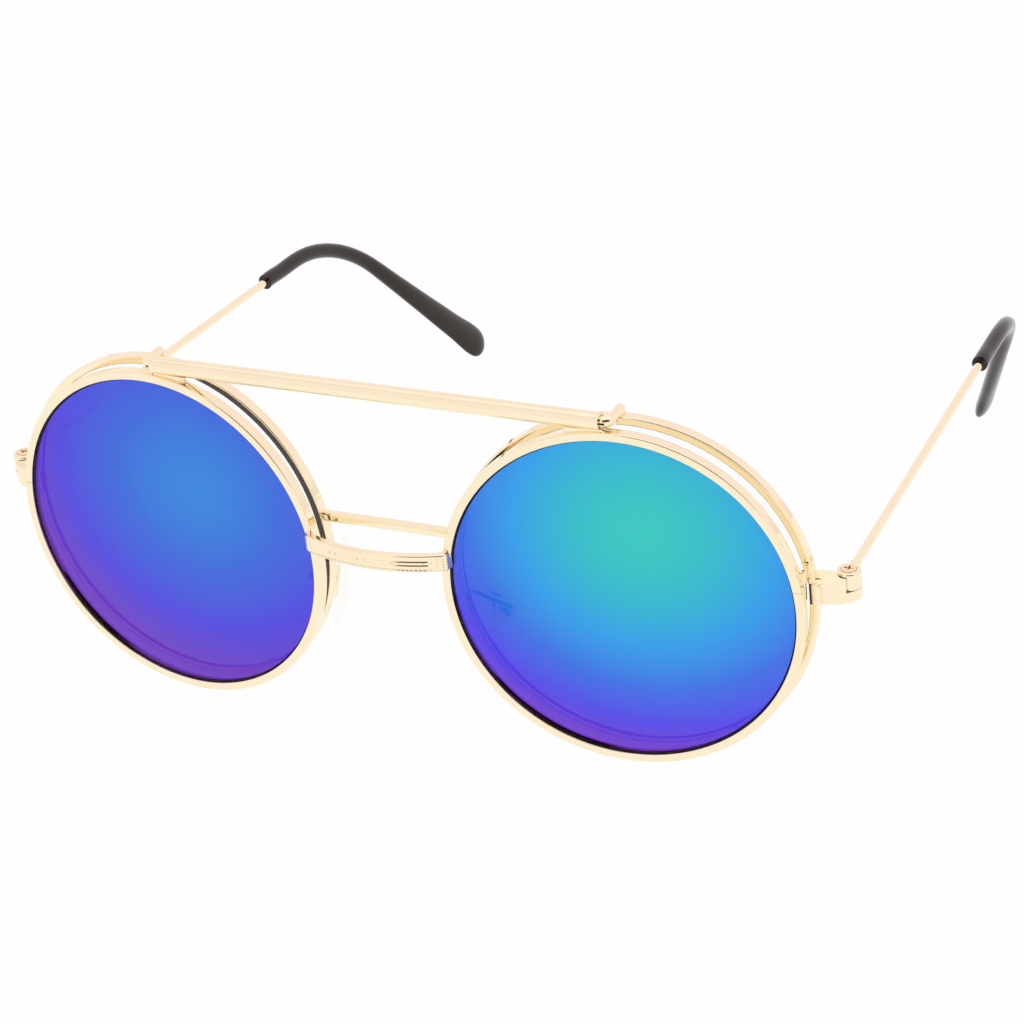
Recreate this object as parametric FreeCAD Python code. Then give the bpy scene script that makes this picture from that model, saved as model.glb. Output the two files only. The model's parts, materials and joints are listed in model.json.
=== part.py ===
"""Round flip-up sunglasses: clear rear frame, mirrored front on a brow hinge, folding temples.

Built in the frame of the front: X to the right as seen from the front, Y towards the ears,
Z up, with the origin midway between the front lenses in the plane of their front lips.
At the end the whole is leaned and lifted until it stands on rims and temple tips.
Pieces are made for the right side and mirrored to the left.
"""
import FreeCAD
import Part
import math
import os

# Lenses and rims
NOSE_GAP = 19.0            # between the front rims
FACE_WRAP = 5.6            # degrees that each lens is turned outward
FRONT_APERTURE_R = 24.5
REAR_OVERSIZE = 0.3        # rear aperture larger than the front one, on the radius
REAR_SETBACK = 3.35        # rear lip plane behind the front lip plane
REAR_SHIFT_OUT = 0.7
REAR_SHIFT_UP = 0.55
RIM_WIDTH = 1.2
RIM_DEPTH = 1.75
RIM_EDGE_R = 0.22
LIP_EDGE_R = 0.12
GROOVE_DEPTH = 0.45
GROOVE_HALF = 0.4          # half the groove's mouth
GROOVE_SETBACK = 1.1       # groove apex behind the lip
LENS_THICKNESS = 1.0
LENS_CURVE_R = 180.0
LENS_CLEARANCE = 0.03

# Closing blocks behind the rims' saw cuts
SAW_CUT = 0.15
LOCK_EDGE_R = 0.25
FRONT_LOCK_HEIGHT = 4.6
FRONT_LOCK_DEPTH = 0.9
FRONT_LOCK_WIDTH = 1.0
FRONT_LOCK_Z = 3.8
REAR_LOCK_HEIGHT = 3.8
REAR_LOCK_DEPTH = 0.95
REAR_LOCK_WIDTH = 1.4
LOCK_SCREW_R = 0.3
LOCK_SCREW_HEAD_R = 0.42
LOCK_SCREW_HEAD = 0.3
LOCK_SCREW_WALL = 0.03     # between the rim and the screw's head

# Flip hinge: brow tube on the front, slotted pins on the rear frame
TUBE_R = 1.25
TUBE_SEAT = 0.1            # depth that the tube is saddled over the rims
TUBE_AXIS_Y = 1.1
TUBE_END_INSET = 1.0       # tube end short of the lens centre
PIN_R = 0.8
PIN_CLEARANCE = 0.06
PIN_INSERTION = 7.0
PIN_SLOT = 0.3
PIN_SLOT_OUT = 0.8         # slot past the tube's mouth
PIN_END_ROUND = 0.6        # rounding of the pin's ends, as a share of its radius
HOOK_REACH = 0.25          # straight pin outside the mouth
HOOK_BEND_R = 0.9
HOOK_SEAT = 0.45           # depth that the hook is notched over the rear rim
HOOK_OVERHANG = 0.3        # hook past the rim's back

# Bridges
REAR_BAR_Z = 5.9
REAR_BAR_HEIGHT = 1.5
REAR_BAR_DEPTH = 1.2
REAR_BAR_EDGE_R = 0.4
BRIDGE_Z = 4.05
BRIDGE_HEIGHT = 2.65
BRIDGE_THICKNESS = 1.15
BRIDGE_EDGE_R = 0.35
BRIDGE_LEG = 0.34          # straight leg from its seat in the rim to the corner
BRIDGE_ARC_R = 26.4
BRIDGE_CORNER_R = 1.8
BRIDGE_LEG_ANGLE = 20.0    # degrees that the legs splay outward

# End pieces and temple hinges
HINGE_OUT = 3.3            # hinge axis outboard of the rear rim
HINGE_BACK = 3.4           # hinge axis behind the rear rim's front
END_BOTTOM_Z = 0.35
END_HEIGHT = 3.2           # front face
END_CROWN = 0.85           # rise of the top from front to back
END_DEPTH = 2.3
END_SETBACK = 0.2          # block front behind the rim's front
END_CURVE_R = 4.8
END_EDGE_R = 0.25
END_RIB_WIDTH = 0.8        # rounded rib laid over the rim's front
END_RIB_PROUD = 0.3
KNUCKLE_R = 1.7
LEAF_HEIGHT = 1.65         # end piece under the temple's eye
LEAF_GAP = 0.06
POCKET_GAP = 0.15          # round the eye
WALL_REACH = 0.3           # pocket wall past the hinge axis
EYE_HEIGHT = 2.5
EYE_EDGE_R = 0.3
TAIL_R = 0.8
TAIL_LENGTH = 2.7
WIRE_SEAT = 1.25           # wire end from the hinge axis
HINGE_SCREW_R = 0.6
HINGE_SCREW_HEAD_R = 1.05
HINGE_SCREW_HEAD = 0.5
HINGE_CLEARANCE = 0.06
SCREW_PROUD = 0.12
CROSS_LENGTH = 1.3
CROSS_WIDTH = 0.3
CROSS_DEPTH = 0.3
THREAD_FLOOR = 0.3         # metal left under the hinge screw

# Temples
WIRE_R = 0.64
WIRE_FIT = 0.01
WIRE_BELOW_TOP = 0.86      # wire axis under the eye's top
WIRE_RUN = 88.7            # hinge axis to the bend's corner, measured front to back
WIRE_TOE_IN = 5.05         # corner inboard of the hinge axis
WIRE_DROP = 3.05           # corner below the wire's start
TIP_LEAD = 21.0            # sleeve starts this far before the corner
TIP_RUN = 41.9             # corner to the tip's end
TIP_DROP_ANGLE = 48.5      # degrees below the horizontal
TIP_IN_ANGLE = 29.8        # degrees inboard, seen from above
TIP_BEND_R = 25.0
TIP_SLEEVE_R = 1.2
TIP_SLEEVE_OVAL = 1.02     # broad to thin in the sleeve
TIP_SWELL_START = 0.45     # share of the length where the paddle starts to widen
TIP_SWELL_POWER = 1.3
TIP_PADDLE_WIDTH = 5.6
TIP_PADDLE_THICKNESS = 2.3
CORE_SHORT = 12.0          # wire core ends this far before the tip's end

# Nose pads
PAD_OUT = 14.5             # pad pivot box from the middle
PAD_BACK = 6.8
PAD_Z = -7.8
PAD_SPLAY = 62.0
PAD_TILT = 13.0
PAD_LENGTH = 14.0
PAD_TOP_R = 3.1
PAD_BOTTOM_R = 3.75
PAD_THICKNESS = 1.8
PAD_EDGE_R = 0.75
PLATE_LENGTH = 6.0
PLATE_WIDTH = 3.4
PLATE_THICKNESS = 0.45
PLATE_OFFSET = 1.5         # plate's outer face from the box centre
BOX_WIDTH = 2.6
BOX_DEPTH = 2.2
BOX_HEIGHT = 2.6
BOX_BACK = 0.6
BOX_SLOT = 1.1
BOX_EDGE_R = 0.2
STEM_SIDE_GAP = 0.06
STEM_EYE_R = 0.7
STEM_NECK = 1.2
PAD_PIVOT_SET = 0.25       # pivot ahead of the box centre
PAD_SCREW_R = 0.4
PAD_SCREW_HEAD_R = 0.65
PAD_SCREW_HEAD = 0.3
ARM_R = 0.47
ARM_ANGLE = 190.0          # place on the rear rim, degrees from the temple side
ARM_RUN = 1.0
ARM_BEND_R = 1.0
ARM_RETURN = 1.6
ARM_RETURN_R = 0.75

# Values worked out from the sizes above
X_AXIS = FreeCAD.Vector(1, 0, 0)
Y_AXIS = FreeCAD.Vector(0, 1, 0)
Z_AXIS = FreeCAD.Vector(0, 0, 1)
ORIGIN = FreeCAD.Vector(0, 0, 0)
OVERRUN = 1.0              # cutters pass this far beyond the metal
FRONT_RIM_R = FRONT_APERTURE_R + RIM_WIDTH
REAR_APERTURE_R = FRONT_APERTURE_R + REAR_OVERSIZE
REAR_RIM_R = REAR_APERTURE_R + RIM_WIDTH
LENS_SPACING = NOSE_GAP + 2 * FRONT_RIM_R
TUBE_AXIS_Z = FRONT_RIM_R + TUBE_R - TUBE_SEAT
TUBE_HALF = LENS_SPACING / 2 - TUBE_END_INSET


def lens_frame(shift_out, shift_up, setback):
    """Place of a right lens: local Y runs back along the lens axis from its lip plane."""
    centre = FreeCAD.Vector(LENS_SPACING / 2 + shift_out, 0, shift_up)
    turn = FreeCAD.Placement(centre, FreeCAD.Rotation(Z_AXIS, FACE_WRAP))
    return turn.multiply(FreeCAD.Placement(FreeCAD.Vector(0, setback, 0), FreeCAD.Rotation()))


FRONT_PLACE = lens_frame(0, 0, 0)
REAR_PLACE = lens_frame(REAR_SHIFT_OUT, REAR_SHIFT_UP, REAR_SETBACK)


def placed(shape, placement):
    moved = shape.copy()
    moved.Placement = placement.multiply(moved.Placement)
    return moved


def mirrored(shape):
    return shape.mirror(ORIGIN, X_AXIS)


def corner_arc(before, corner, after, radius):
    """Start, middle and end of the arc that rounds a corner."""
    to_before = (before - corner).normalize()
    to_after = (after - corner).normalize()
    half_angle = to_before.getAngle(to_after) / 2
    bisector = (to_before + to_after).normalize()
    run = radius / math.tan(half_angle)
    middle = corner + bisector * (radius / math.sin(half_angle) - radius)
    return corner + to_before * run, middle, corner + to_after * run


def path_edges(points, radii, closed):
    """Straight runs between points, with the corners rounded where a radius is given."""
    edges = []
    count = len(points)
    corners = []
    for index, point in enumerate(points):
        radius = radii[index]
        if radius:
            corners.append(corner_arc(points[index - 1], point, points[(index + 1) % count], radius))
        else:
            corners.append((point, None, point))
    for index in range(count if closed else count - 1):
        start = corners[index][2]
        end = corners[(index + 1) % count][0]
        if start.distanceToPoint(end) > 1e-6:
            edges.append(Part.LineSegment(start, end).toShape())
        first, middle, last = corners[(index + 1) % count]
        if middle:
            edges.append(Part.Arc(first, middle, last).toShape())
    return edges


def outline(points, radii):
    return Part.Face(Part.Wire(path_edges(points, radii, True)))


def bent_rod(points, radii, rod_r):
    """Round rod along straight runs and tangent arcs."""
    path = Part.Wire(path_edges(points, radii, False))
    ring = Part.Wire(Part.makeCircle(rod_r, points[0], points[1] - points[0]))
    return path.makePipeShell([ring], True, False)


def block(low, high, edge_r=0):
    """Box between two corners, with its edges rounded."""
    size = high - low
    solid = Part.makeBox(size.x, size.y, size.z, low)
    return solid.makeFillet(edge_r, solid.Edges) if edge_r else solid


def cylinder(radius, base, axis, length):
    return Part.makeCylinder(radius, length, base, axis)


def rim_ring(aperture_r):
    """Whole rim before it is sawn: grooved section turned about the lens axis."""
    outer_r = aperture_r + RIM_WIDTH
    points = [
        FreeCAD.Vector(aperture_r, 0, 0),
        FreeCAD.Vector(outer_r, 0, 0),
        FreeCAD.Vector(outer_r, RIM_DEPTH, 0),
        FreeCAD.Vector(aperture_r, RIM_DEPTH, 0),
        FreeCAD.Vector(aperture_r, GROOVE_SETBACK + GROOVE_HALF, 0),
        FreeCAD.Vector(aperture_r + GROOVE_DEPTH, GROOVE_SETBACK, 0),
        FreeCAD.Vector(aperture_r, GROOVE_SETBACK - GROOVE_HALF, 0),
    ]
    radii = [LIP_EDGE_R, RIM_EDGE_R, RIM_EDGE_R, LIP_EDGE_R, 0, 0, 0]
    return outline(points, radii).revolve(ORIGIN, Y_AXIS, 360)


def saw_cut(aperture_r, height):
    """Cutter for the gap in a rim, at a height above the lens centre."""
    low = FreeCAD.Vector(aperture_r - OVERRUN, -OVERRUN, height - SAW_CUT / 2)
    high = FreeCAD.Vector(aperture_r + RIM_WIDTH + OVERRUN, RIM_DEPTH + OVERRUN, height + SAW_CUT / 2)
    return block(low, high)


def dome_arc(radius, edge_y):
    """Half of a lens surface, bulging forward from its edge to the lens axis."""
    centre_y = edge_y + math.sqrt(LENS_CURVE_R ** 2 - radius ** 2)
    half = math.asin(radius / LENS_CURVE_R) / 2
    edge = FreeCAD.Vector(radius, edge_y, 0)
    middle = FreeCAD.Vector(LENS_CURVE_R * math.sin(half), centre_y - LENS_CURVE_R * math.cos(half), 0)
    pole = FreeCAD.Vector(0, centre_y - LENS_CURVE_R, 0)
    return edge, middle, pole


def lens(aperture_r):
    """Domed lens whose bevelled edge lies in the rim's groove."""
    disc_r = aperture_r - LENS_CLEARANCE
    bevel = GROOVE_HALF * (GROOVE_DEPTH - LENS_CLEARANCE) / GROOVE_DEPTH
    ridge = FreeCAD.Vector(aperture_r + GROOVE_DEPTH - 2 * LENS_CLEARANCE, GROOVE_SETBACK, 0)
    front_edge, front_middle, front_pole = dome_arc(disc_r, GROOVE_SETBACK - LENS_THICKNESS / 2)
    back_edge, back_middle, back_pole = dome_arc(disc_r, GROOVE_SETBACK + LENS_THICKNESS / 2)
    bevel_front = FreeCAD.Vector(disc_r, GROOVE_SETBACK - bevel, 0)
    bevel_back = FreeCAD.Vector(disc_r, GROOVE_SETBACK + bevel, 0)
    edges = [
        Part.Arc(front_pole, front_middle, front_edge).toShape(),
        Part.LineSegment(front_edge, bevel_front).toShape(),
        Part.LineSegment(bevel_front, ridge).toShape(),
        Part.LineSegment(ridge, bevel_back).toShape(),
        Part.LineSegment(bevel_back, back_edge).toShape(),
        Part.Arc(back_edge, back_middle, back_pole).toShape(),
        Part.LineSegment(back_pole, front_pole).toShape(),
    ]
    return Part.Face(Part.Wire(edges)).revolve(ORIGIN, Y_AXIS, 360)


def lock_halves(low, high, split_z):
    """Upper and lower half of a closing block, and the screw that draws them together."""
    whole = block(low, high, LOCK_EDGE_R)
    upper_cut = block(FreeCAD.Vector(low.x - OVERRUN, low.y - OVERRUN, split_z + SAW_CUT / 2),
                      high + FreeCAD.Vector(OVERRUN, OVERRUN, OVERRUN))
    lower_cut = block(low - FreeCAD.Vector(OVERRUN, OVERRUN, OVERRUN),
                      FreeCAD.Vector(high.x + OVERRUN, high.y + OVERRUN, split_z - SAW_CUT / 2))
    screw_y = low.y + LOCK_SCREW_WALL + LOCK_SCREW_HEAD_R
    head_base = FreeCAD.Vector((low.x + high.x) / 2, screw_y, low.z)
    shank_end = high.z - LOCK_EDGE_R * 2
    screw = cylinder(LOCK_SCREW_HEAD_R, head_base, Z_AXIS, LOCK_SCREW_HEAD)
    screw = screw.fuse(cylinder(LOCK_SCREW_R, head_base, Z_AXIS, shank_end - low.z)).removeSplitter()
    upper = whole.common(upper_cut).cut(screw)
    lower = whole.common(lower_cut).cut(screw)
    return upper, lower, screw


def front_locks():
    low_z = FRONT_LOCK_Z - FRONT_LOCK_HEIGHT / 2
    low = FreeCAD.Vector(FRONT_APERTURE_R, RIM_DEPTH, low_z)
    high = low + FreeCAD.Vector(FRONT_LOCK_WIDTH, FRONT_LOCK_DEPTH, FRONT_LOCK_HEIGHT)
    return lock_halves(low, high, FRONT_LOCK_Z)


REAR_LOCK_Z = END_BOTTOM_Z + END_HEIGHT / 2 - REAR_SHIFT_UP


def rear_lock_box():
    """Corners of the rear closing block, in the rear lens frame."""
    low = FreeCAD.Vector(REAR_APERTURE_R + LIP_EDGE_R, RIM_DEPTH, REAR_LOCK_Z - REAR_LOCK_HEIGHT / 2)
    return low, low + FreeCAD.Vector(REAR_LOCK_WIDTH, REAR_LOCK_DEPTH, REAR_LOCK_HEIGHT)


def rear_lock_room():
    """Room left in the end piece for the rear closing block and its screw's head."""
    low, high = rear_lock_box()
    head_back = low.y + 2 * (LOCK_SCREW_WALL + LOCK_SCREW_HEAD_R)
    return block(low - Y_AXIS * (RIM_DEPTH / 2), FreeCAD.Vector(high.x, max(high.y, head_back), high.z))


def rear_rim():
    """Rear rim with its saw cut and the notch that bares the groove beside the end piece."""
    notch_low = FreeCAD.Vector(REAR_APERTURE_R - OVERRUN, -OVERRUN, END_BOTTOM_Z - REAR_SHIFT_UP)
    notch_high = FreeCAD.Vector(REAR_RIM_R - END_RIB_WIDTH, GROOVE_SETBACK - GROOVE_HALF,
                                END_BOTTOM_Z + END_HEIGHT - REAR_SHIFT_UP)
    ring = rim_ring(REAR_APERTURE_R).cut(block(notch_low, notch_high))
    return ring.cut(saw_cut(REAR_APERTURE_R, REAR_LOCK_Z))


def hinge_tube(front_rims):
    """Brow tube, saddled over the tops of the front rims."""
    start = FreeCAD.Vector(-TUBE_HALF, TUBE_AXIS_Y, TUBE_AXIS_Z)
    tube = cylinder(TUBE_R, start, X_AXIS, 2 * TUBE_HALF)
    tube = tube.cut(cylinder(PIN_R + PIN_CLEARANCE, start, X_AXIS, 2 * TUBE_HALF))
    for rim in front_rims:
        tube = tube.cut(rim)
    return tube


def pivot_hook(rear_ring):
    """Slotted pin in the tube, bent back and notched over the top of the rear rim."""
    arm_x = TUBE_HALF + HOOK_REACH + HOOK_BEND_R
    rim_back = REAR_PLACE.multVec(FreeCAD.Vector(0, RIM_DEPTH, REAR_RIM_R))
    inner = FreeCAD.Vector(TUBE_HALF - PIN_INSERTION, TUBE_AXIS_Y, TUBE_AXIS_Z)
    elbow = FreeCAD.Vector(arm_x, TUBE_AXIS_Y, TUBE_AXIS_Z)
    end = FreeCAD.Vector(arm_x, rim_back.y + HOOK_OVERHANG, rim_back.z + PIN_R - HOOK_SEAT)
    hook = bent_rod([inner, elbow, end], [0, HOOK_BEND_R, 0], PIN_R)
    rims = [face.Edges[0] for face in hook.Faces if len(face.Edges) == 1]
    hook = hook.makeFillet(PIN_R * PIN_END_ROUND, rims)
    slot_low = inner + FreeCAD.Vector(-OVERRUN, -2 * PIN_R, -PIN_SLOT / 2)
    slot_high = FreeCAD.Vector(TUBE_HALF + PIN_SLOT_OUT, TUBE_AXIS_Y + 2 * PIN_R, TUBE_AXIS_Z + PIN_SLOT / 2)
    return hook.cut(block(slot_low, slot_high)).cut(rear_ring)


def rear_bridge_bar(rear_rings):
    """Straight bar between the nasal walls of the rear rims."""
    rise = REAR_BAR_Z - REAR_SHIFT_UP
    wall = math.sqrt(REAR_RIM_R ** 2 - rise ** 2)
    seat = REAR_PLACE.multVec(FreeCAD.Vector(RIM_WIDTH / 4 - wall, RIM_DEPTH / 2, rise))
    half_depth = REAR_BAR_DEPTH / 2
    half_height = REAR_BAR_HEIGHT / 2
    points = [FreeCAD.Vector(-seat.x, seat.y + y, seat.z + z)
              for y, z in ((-half_depth, -half_height), (half_depth, -half_height),
                           (half_depth, half_height), (-half_depth, half_height))]
    bar = outline(points, [REAR_BAR_EDGE_R] * 4).extrude(FreeCAD.Vector(2 * seat.x, 0, 0))
    for ring in rear_rings:
        bar = bar.cut(ring)
    return bar


def bridge_path():
    """Centre line of the saddle strap: legs on the rims, rounded corners, one shallow arc between."""
    middle_r = FRONT_APERTURE_R + RIM_WIDTH / 2
    foot = FRONT_PLACE.multVec(FreeCAD.Vector(-math.sqrt(middle_r ** 2 - BRIDGE_Z ** 2), 0, BRIDGE_Z))
    lean = math.radians(BRIDGE_LEG_ANGLE)
    leg = FreeCAD.Vector(math.sin(lean), math.cos(lean), 0)
    inward = FreeCAD.Vector(-math.cos(lean), math.sin(lean), 0)
    foot_end = foot + leg * (RIM_WIDTH / 2)
    corner_end = foot_end - leg * BRIDGE_LEG
    # The corner's centre lies one corner radius inside the leg and inside the shallow arc.
    corner = corner_end + inward * BRIDGE_CORNER_R
    rise = math.sqrt((BRIDGE_ARC_R - BRIDGE_CORNER_R) ** 2 - corner.x ** 2)
    arc_centre = FreeCAD.Vector(0, corner.y + rise, BRIDGE_Z)
    apex = arc_centre - Y_AXIS * BRIDGE_ARC_R
    radial = (corner - arc_centre).normalize()
    arc_end = arc_centre + radial * BRIDGE_ARC_R
    corner_middle = corner + (radial - inward).normalize() * BRIDGE_CORNER_R
    left_end, left_middle, left_corner, left_foot = [
        FreeCAD.Vector(-point.x, point.y, point.z)
        for point in (arc_end, corner_middle, corner_end, foot_end)]
    path = Part.Wire([
        Part.LineSegment(foot_end, corner_end).toShape(),
        Part.Arc(corner_end, corner_middle, arc_end).toShape(),
        Part.Arc(arc_end, apex, left_end).toShape(),
        Part.Arc(left_end, left_middle, left_corner).toShape(),
        Part.LineSegment(left_corner, left_foot).toShape(),
    ])
    return path, foot_end, leg


def front_bridge(front_rings):
    """Saddle strap swept in front of the nose gap and seated on the rims' front faces."""
    path, start, leg = bridge_path()
    across = FreeCAD.Vector(leg.y, -leg.x, 0) * (BRIDGE_THICKNESS / 2)
    rise = Z_AXIS * (BRIDGE_HEIGHT / 2)
    points = [start - across - rise, start + across - rise, start + across + rise, start - across + rise]
    section = Part.Wire(path_edges(points, [BRIDGE_EDGE_R] * 4, True))
    strap = path.makePipeShell([section], True, False)
    for ring in front_rings:
        strap = strap.cut(ring)
    return strap


RIM_TEMPLE_POINT = REAR_PLACE.multVec(FreeCAD.Vector(REAR_RIM_R, 0, 0))
HINGE_X = RIM_TEMPLE_POINT.x + HINGE_OUT
HINGE_Y = RIM_TEMPLE_POINT.y + HINGE_BACK
END_FRONT_Y = RIM_TEMPLE_POINT.y + END_SETBACK
LEAF_TOP_Z = END_BOTTOM_Z + LEAF_HEIGHT
EYE_TOP_Z = LEAF_TOP_Z + LEAF_GAP + EYE_HEIGHT


def end_outline():
    """Plan of an end piece: from the rim, round the front curve and the knuckle, and back."""
    hinge = FreeCAD.Vector(HINGE_X, HINGE_Y, END_BOTTOM_Z)
    curve_y = END_FRONT_Y + END_CURVE_R
    curve_x = HINGE_X - math.sqrt((END_CURVE_R - KNUCKLE_R) ** 2 - (HINGE_Y - curve_y) ** 2)
    curve = FreeCAD.Vector(curve_x, curve_y, END_BOTTOM_Z)
    tangent = (hinge - curve).normalize()
    front = curve - Y_AXIS * END_CURVE_R
    meet = curve + tangent * END_CURVE_R
    bow = curve + (tangent - Y_AXIS).normalize() * END_CURVE_R
    back_y = END_FRONT_Y + END_DEPTH
    inner_x = RIM_TEMPLE_POINT.x - RIM_WIDTH / 2
    knuckle_x = HINGE_X - math.sqrt(KNUCKLE_R ** 2 - (HINGE_Y - back_y) ** 2)
    knuckle = FreeCAD.Vector(knuckle_x, back_y, END_BOTTOM_Z)
    knuckle_back = hinge + Y_AXIS * KNUCKLE_R
    inner_front = FreeCAD.Vector(inner_x, END_FRONT_Y, END_BOTTOM_Z)
    inner_back = FreeCAD.Vector(inner_x, back_y, END_BOTTOM_Z)
    return Part.Face(Part.Wire([
        Part.LineSegment(inner_front, front).toShape(),
        Part.Arc(front, bow, meet).toShape(),
        Part.Arc(meet, knuckle_back, knuckle).toShape(),
        Part.LineSegment(knuckle, inner_back).toShape(),
        Part.LineSegment(inner_back, inner_front).toShape(),
    ]))


def crown_cut():
    """Cutter that slopes an end piece's top up from its front edge to its back."""
    front = FreeCAD.Vector(RIM_TEMPLE_POINT.x - RIM_WIDTH, END_FRONT_Y, END_BOTTOM_Z + END_HEIGHT)
    slope = FreeCAD.Vector(0, END_DEPTH, END_CROWN)
    rise = Z_AXIS * END_HEIGHT
    points = [front - slope, front + slope, front + slope + rise, front - slope + rise]
    return outline(points, [0] * 4).extrude(X_AXIS * (HINGE_OUT + END_CURVE_R))


def endpiece(rear_ring, lock_room):
    """Block from the rear rim to the temple hinge: a low leaf with a walled pocket for the eye."""
    hinge = FreeCAD.Vector(HINGE_X, HINGE_Y, END_BOTTOM_Z)
    full_height = END_HEIGHT + END_CROWN
    body = end_outline().extrude(Z_AXIS * full_height)
    low_edges = [edge for edge in body.Edges if edge.BoundBox.ZMax < LEAF_TOP_Z]
    outer_edges = [edge for edge in low_edges
                   if isinstance(edge.Curve, Part.Circle) or edge.CenterOfMass.y < END_FRONT_Y + END_EDGE_R]
    body = body.makeFillet(END_EDGE_R, outer_edges)
    leaf_top = hinge + Z_AXIS * LEAF_HEIGHT
    pocket = cylinder(KNUCKLE_R + POCKET_GAP, leaf_top, Z_AXIS, full_height)
    wall_cut = block(FreeCAD.Vector(HINGE_X + WALL_REACH, END_FRONT_Y - OVERRUN, LEAF_TOP_Z),
                     FreeCAD.Vector(HINGE_X + END_CURVE_R, HINGE_Y + END_CURVE_R, LEAF_TOP_Z + full_height))
    body = body.cut(pocket).cut(wall_cut).cut(crown_cut())
    rib_low = FreeCAD.Vector(REAR_RIM_R - END_RIB_WIDTH, -END_RIB_PROUD, END_BOTTOM_Z - REAR_SHIFT_UP)
    rib_size = FreeCAD.Vector(END_RIB_WIDTH * 1.5, END_RIB_PROUD + END_SETBACK + END_EDGE_R * 2, END_HEIGHT)
    rib_high = rib_low + rib_size
    rib = block(rib_low, rib_high, END_EDGE_R)
    body = body.fuse(placed(rib, REAR_PLACE)).cut(rear_ring).cut(lock_room)
    thread = cylinder(HINGE_SCREW_R, hinge + Z_AXIS * THREAD_FLOOR, Z_AXIS, END_HEIGHT)
    return body.cut(thread).removeSplitter()


def hinge_screw():
    """Cross-head screw: head in the temple's eye, shank threaded into the leaf."""
    top = EYE_TOP_Z + SCREW_PROUD
    head_base = FreeCAD.Vector(HINGE_X, HINGE_Y, EYE_TOP_Z - HINGE_SCREW_HEAD)
    shank_base = FreeCAD.Vector(HINGE_X, HINGE_Y, END_BOTTOM_Z + THREAD_FLOOR)
    head = cylinder(HINGE_SCREW_HEAD_R, head_base, Z_AXIS, top - head_base.z)
    rims = [edge for edge in head.Edges if edge.BoundBox.ZMin > top - SCREW_PROUD]
    shank = cylinder(HINGE_SCREW_R, shank_base, Z_AXIS, head_base.z - shank_base.z)
    screw = head.makeFillet(SCREW_PROUD, rims).fuse(shank).removeSplitter()
    for half_x, half_y in ((CROSS_LENGTH / 2, CROSS_WIDTH / 2), (CROSS_WIDTH / 2, CROSS_LENGTH / 2)):
        low = FreeCAD.Vector(HINGE_X - half_x, HINGE_Y - half_y, top - CROSS_DEPTH)
        screw = screw.cut(block(low, FreeCAD.Vector(HINGE_X + half_x, HINGE_Y + half_y, top + OVERRUN)))
    return screw


WIRE_START = FreeCAD.Vector(HINGE_X, HINGE_Y, EYE_TOP_Z - WIRE_BELOW_TOP)
TIP_CORNER = WIRE_START + FreeCAD.Vector(-WIRE_TOE_IN, WIRE_RUN, -WIRE_DROP)
WIRE_WAY = (TIP_CORNER - WIRE_START).normalize()
TIP_START = TIP_CORNER - WIRE_WAY * TIP_LEAD
TIP_WAY = FreeCAD.Vector(-math.sin(math.radians(TIP_IN_ANGLE)) * math.cos(math.radians(TIP_DROP_ANGLE)),
                         math.cos(math.radians(TIP_IN_ANGLE)) * math.cos(math.radians(TIP_DROP_ANGLE)),
                         -math.sin(math.radians(TIP_DROP_ANGLE)))
TIP_END = TIP_CORNER + TIP_WAY * TIP_RUN


def temple_hinge():
    """Eye that turns on the hinge screw, with a tail that holds the wire."""
    base = FreeCAD.Vector(HINGE_X, HINGE_Y, LEAF_TOP_Z + LEAF_GAP)
    eye = cylinder(KNUCKLE_R, base, Z_AXIS, EYE_HEIGHT)
    rims = [edge for edge in eye.Edges if edge.BoundBox.ZMin > EYE_TOP_Z - LEAF_GAP]
    eye = eye.makeFillet(EYE_EDGE_R, rims)
    eye = eye.fuse(cylinder(TAIL_R, WIRE_START, WIRE_WAY, TAIL_LENGTH)).removeSplitter()
    eye = eye.cut(cylinder(HINGE_SCREW_R + HINGE_CLEARANCE, base, Z_AXIS, EYE_HEIGHT))
    seat = FreeCAD.Vector(HINGE_X, HINGE_Y, EYE_TOP_Z - HINGE_SCREW_HEAD - HINGE_CLEARANCE)
    eye = eye.cut(cylinder(HINGE_SCREW_HEAD_R + HINGE_CLEARANCE, seat, Z_AXIS, HINGE_SCREW_HEAD + OVERRUN))
    return eye.cut(cylinder(WIRE_R + WIRE_FIT, WIRE_START + WIRE_WAY * WIRE_SEAT, WIRE_WAY, TAIL_LENGTH))


def temple_rod(start, rod_r):
    """Rod along the temple: straight, round the ear bend and down into the tip."""
    end = TIP_END - TIP_WAY * CORE_SHORT
    return bent_rod([start, TIP_CORNER, end], [0, TIP_BEND_R, 0], rod_r)


def temple_wire():
    return temple_rod(WIRE_START + WIRE_WAY * WIRE_SEAT, WIRE_R)


def tip_station(distance):
    """Point and heading on the tip's centre line, a distance from the sleeve's start."""
    bend_start, _, bend_end = corner_arc(TIP_START, TIP_CORNER, TIP_END, TIP_BEND_R)
    lead = bend_start.distanceToPoint(TIP_START)
    turn = WIRE_WAY.getAngle(TIP_WAY)
    if distance <= lead:
        return TIP_START + WIRE_WAY * distance, WIRE_WAY
    if distance >= lead + TIP_BEND_R * turn:
        return bend_end + TIP_WAY * (distance - lead - TIP_BEND_R * turn), TIP_WAY
    angle = (distance - lead) / TIP_BEND_R
    inward = (TIP_WAY - WIRE_WAY * WIRE_WAY.dot(TIP_WAY)).normalize()
    heading = WIRE_WAY * math.cos(angle) + inward * math.sin(angle)
    centre = bend_start + inward * TIP_BEND_R
    return centre - (inward * math.cos(angle) - WIRE_WAY * math.sin(angle)) * TIP_BEND_R, heading


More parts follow.
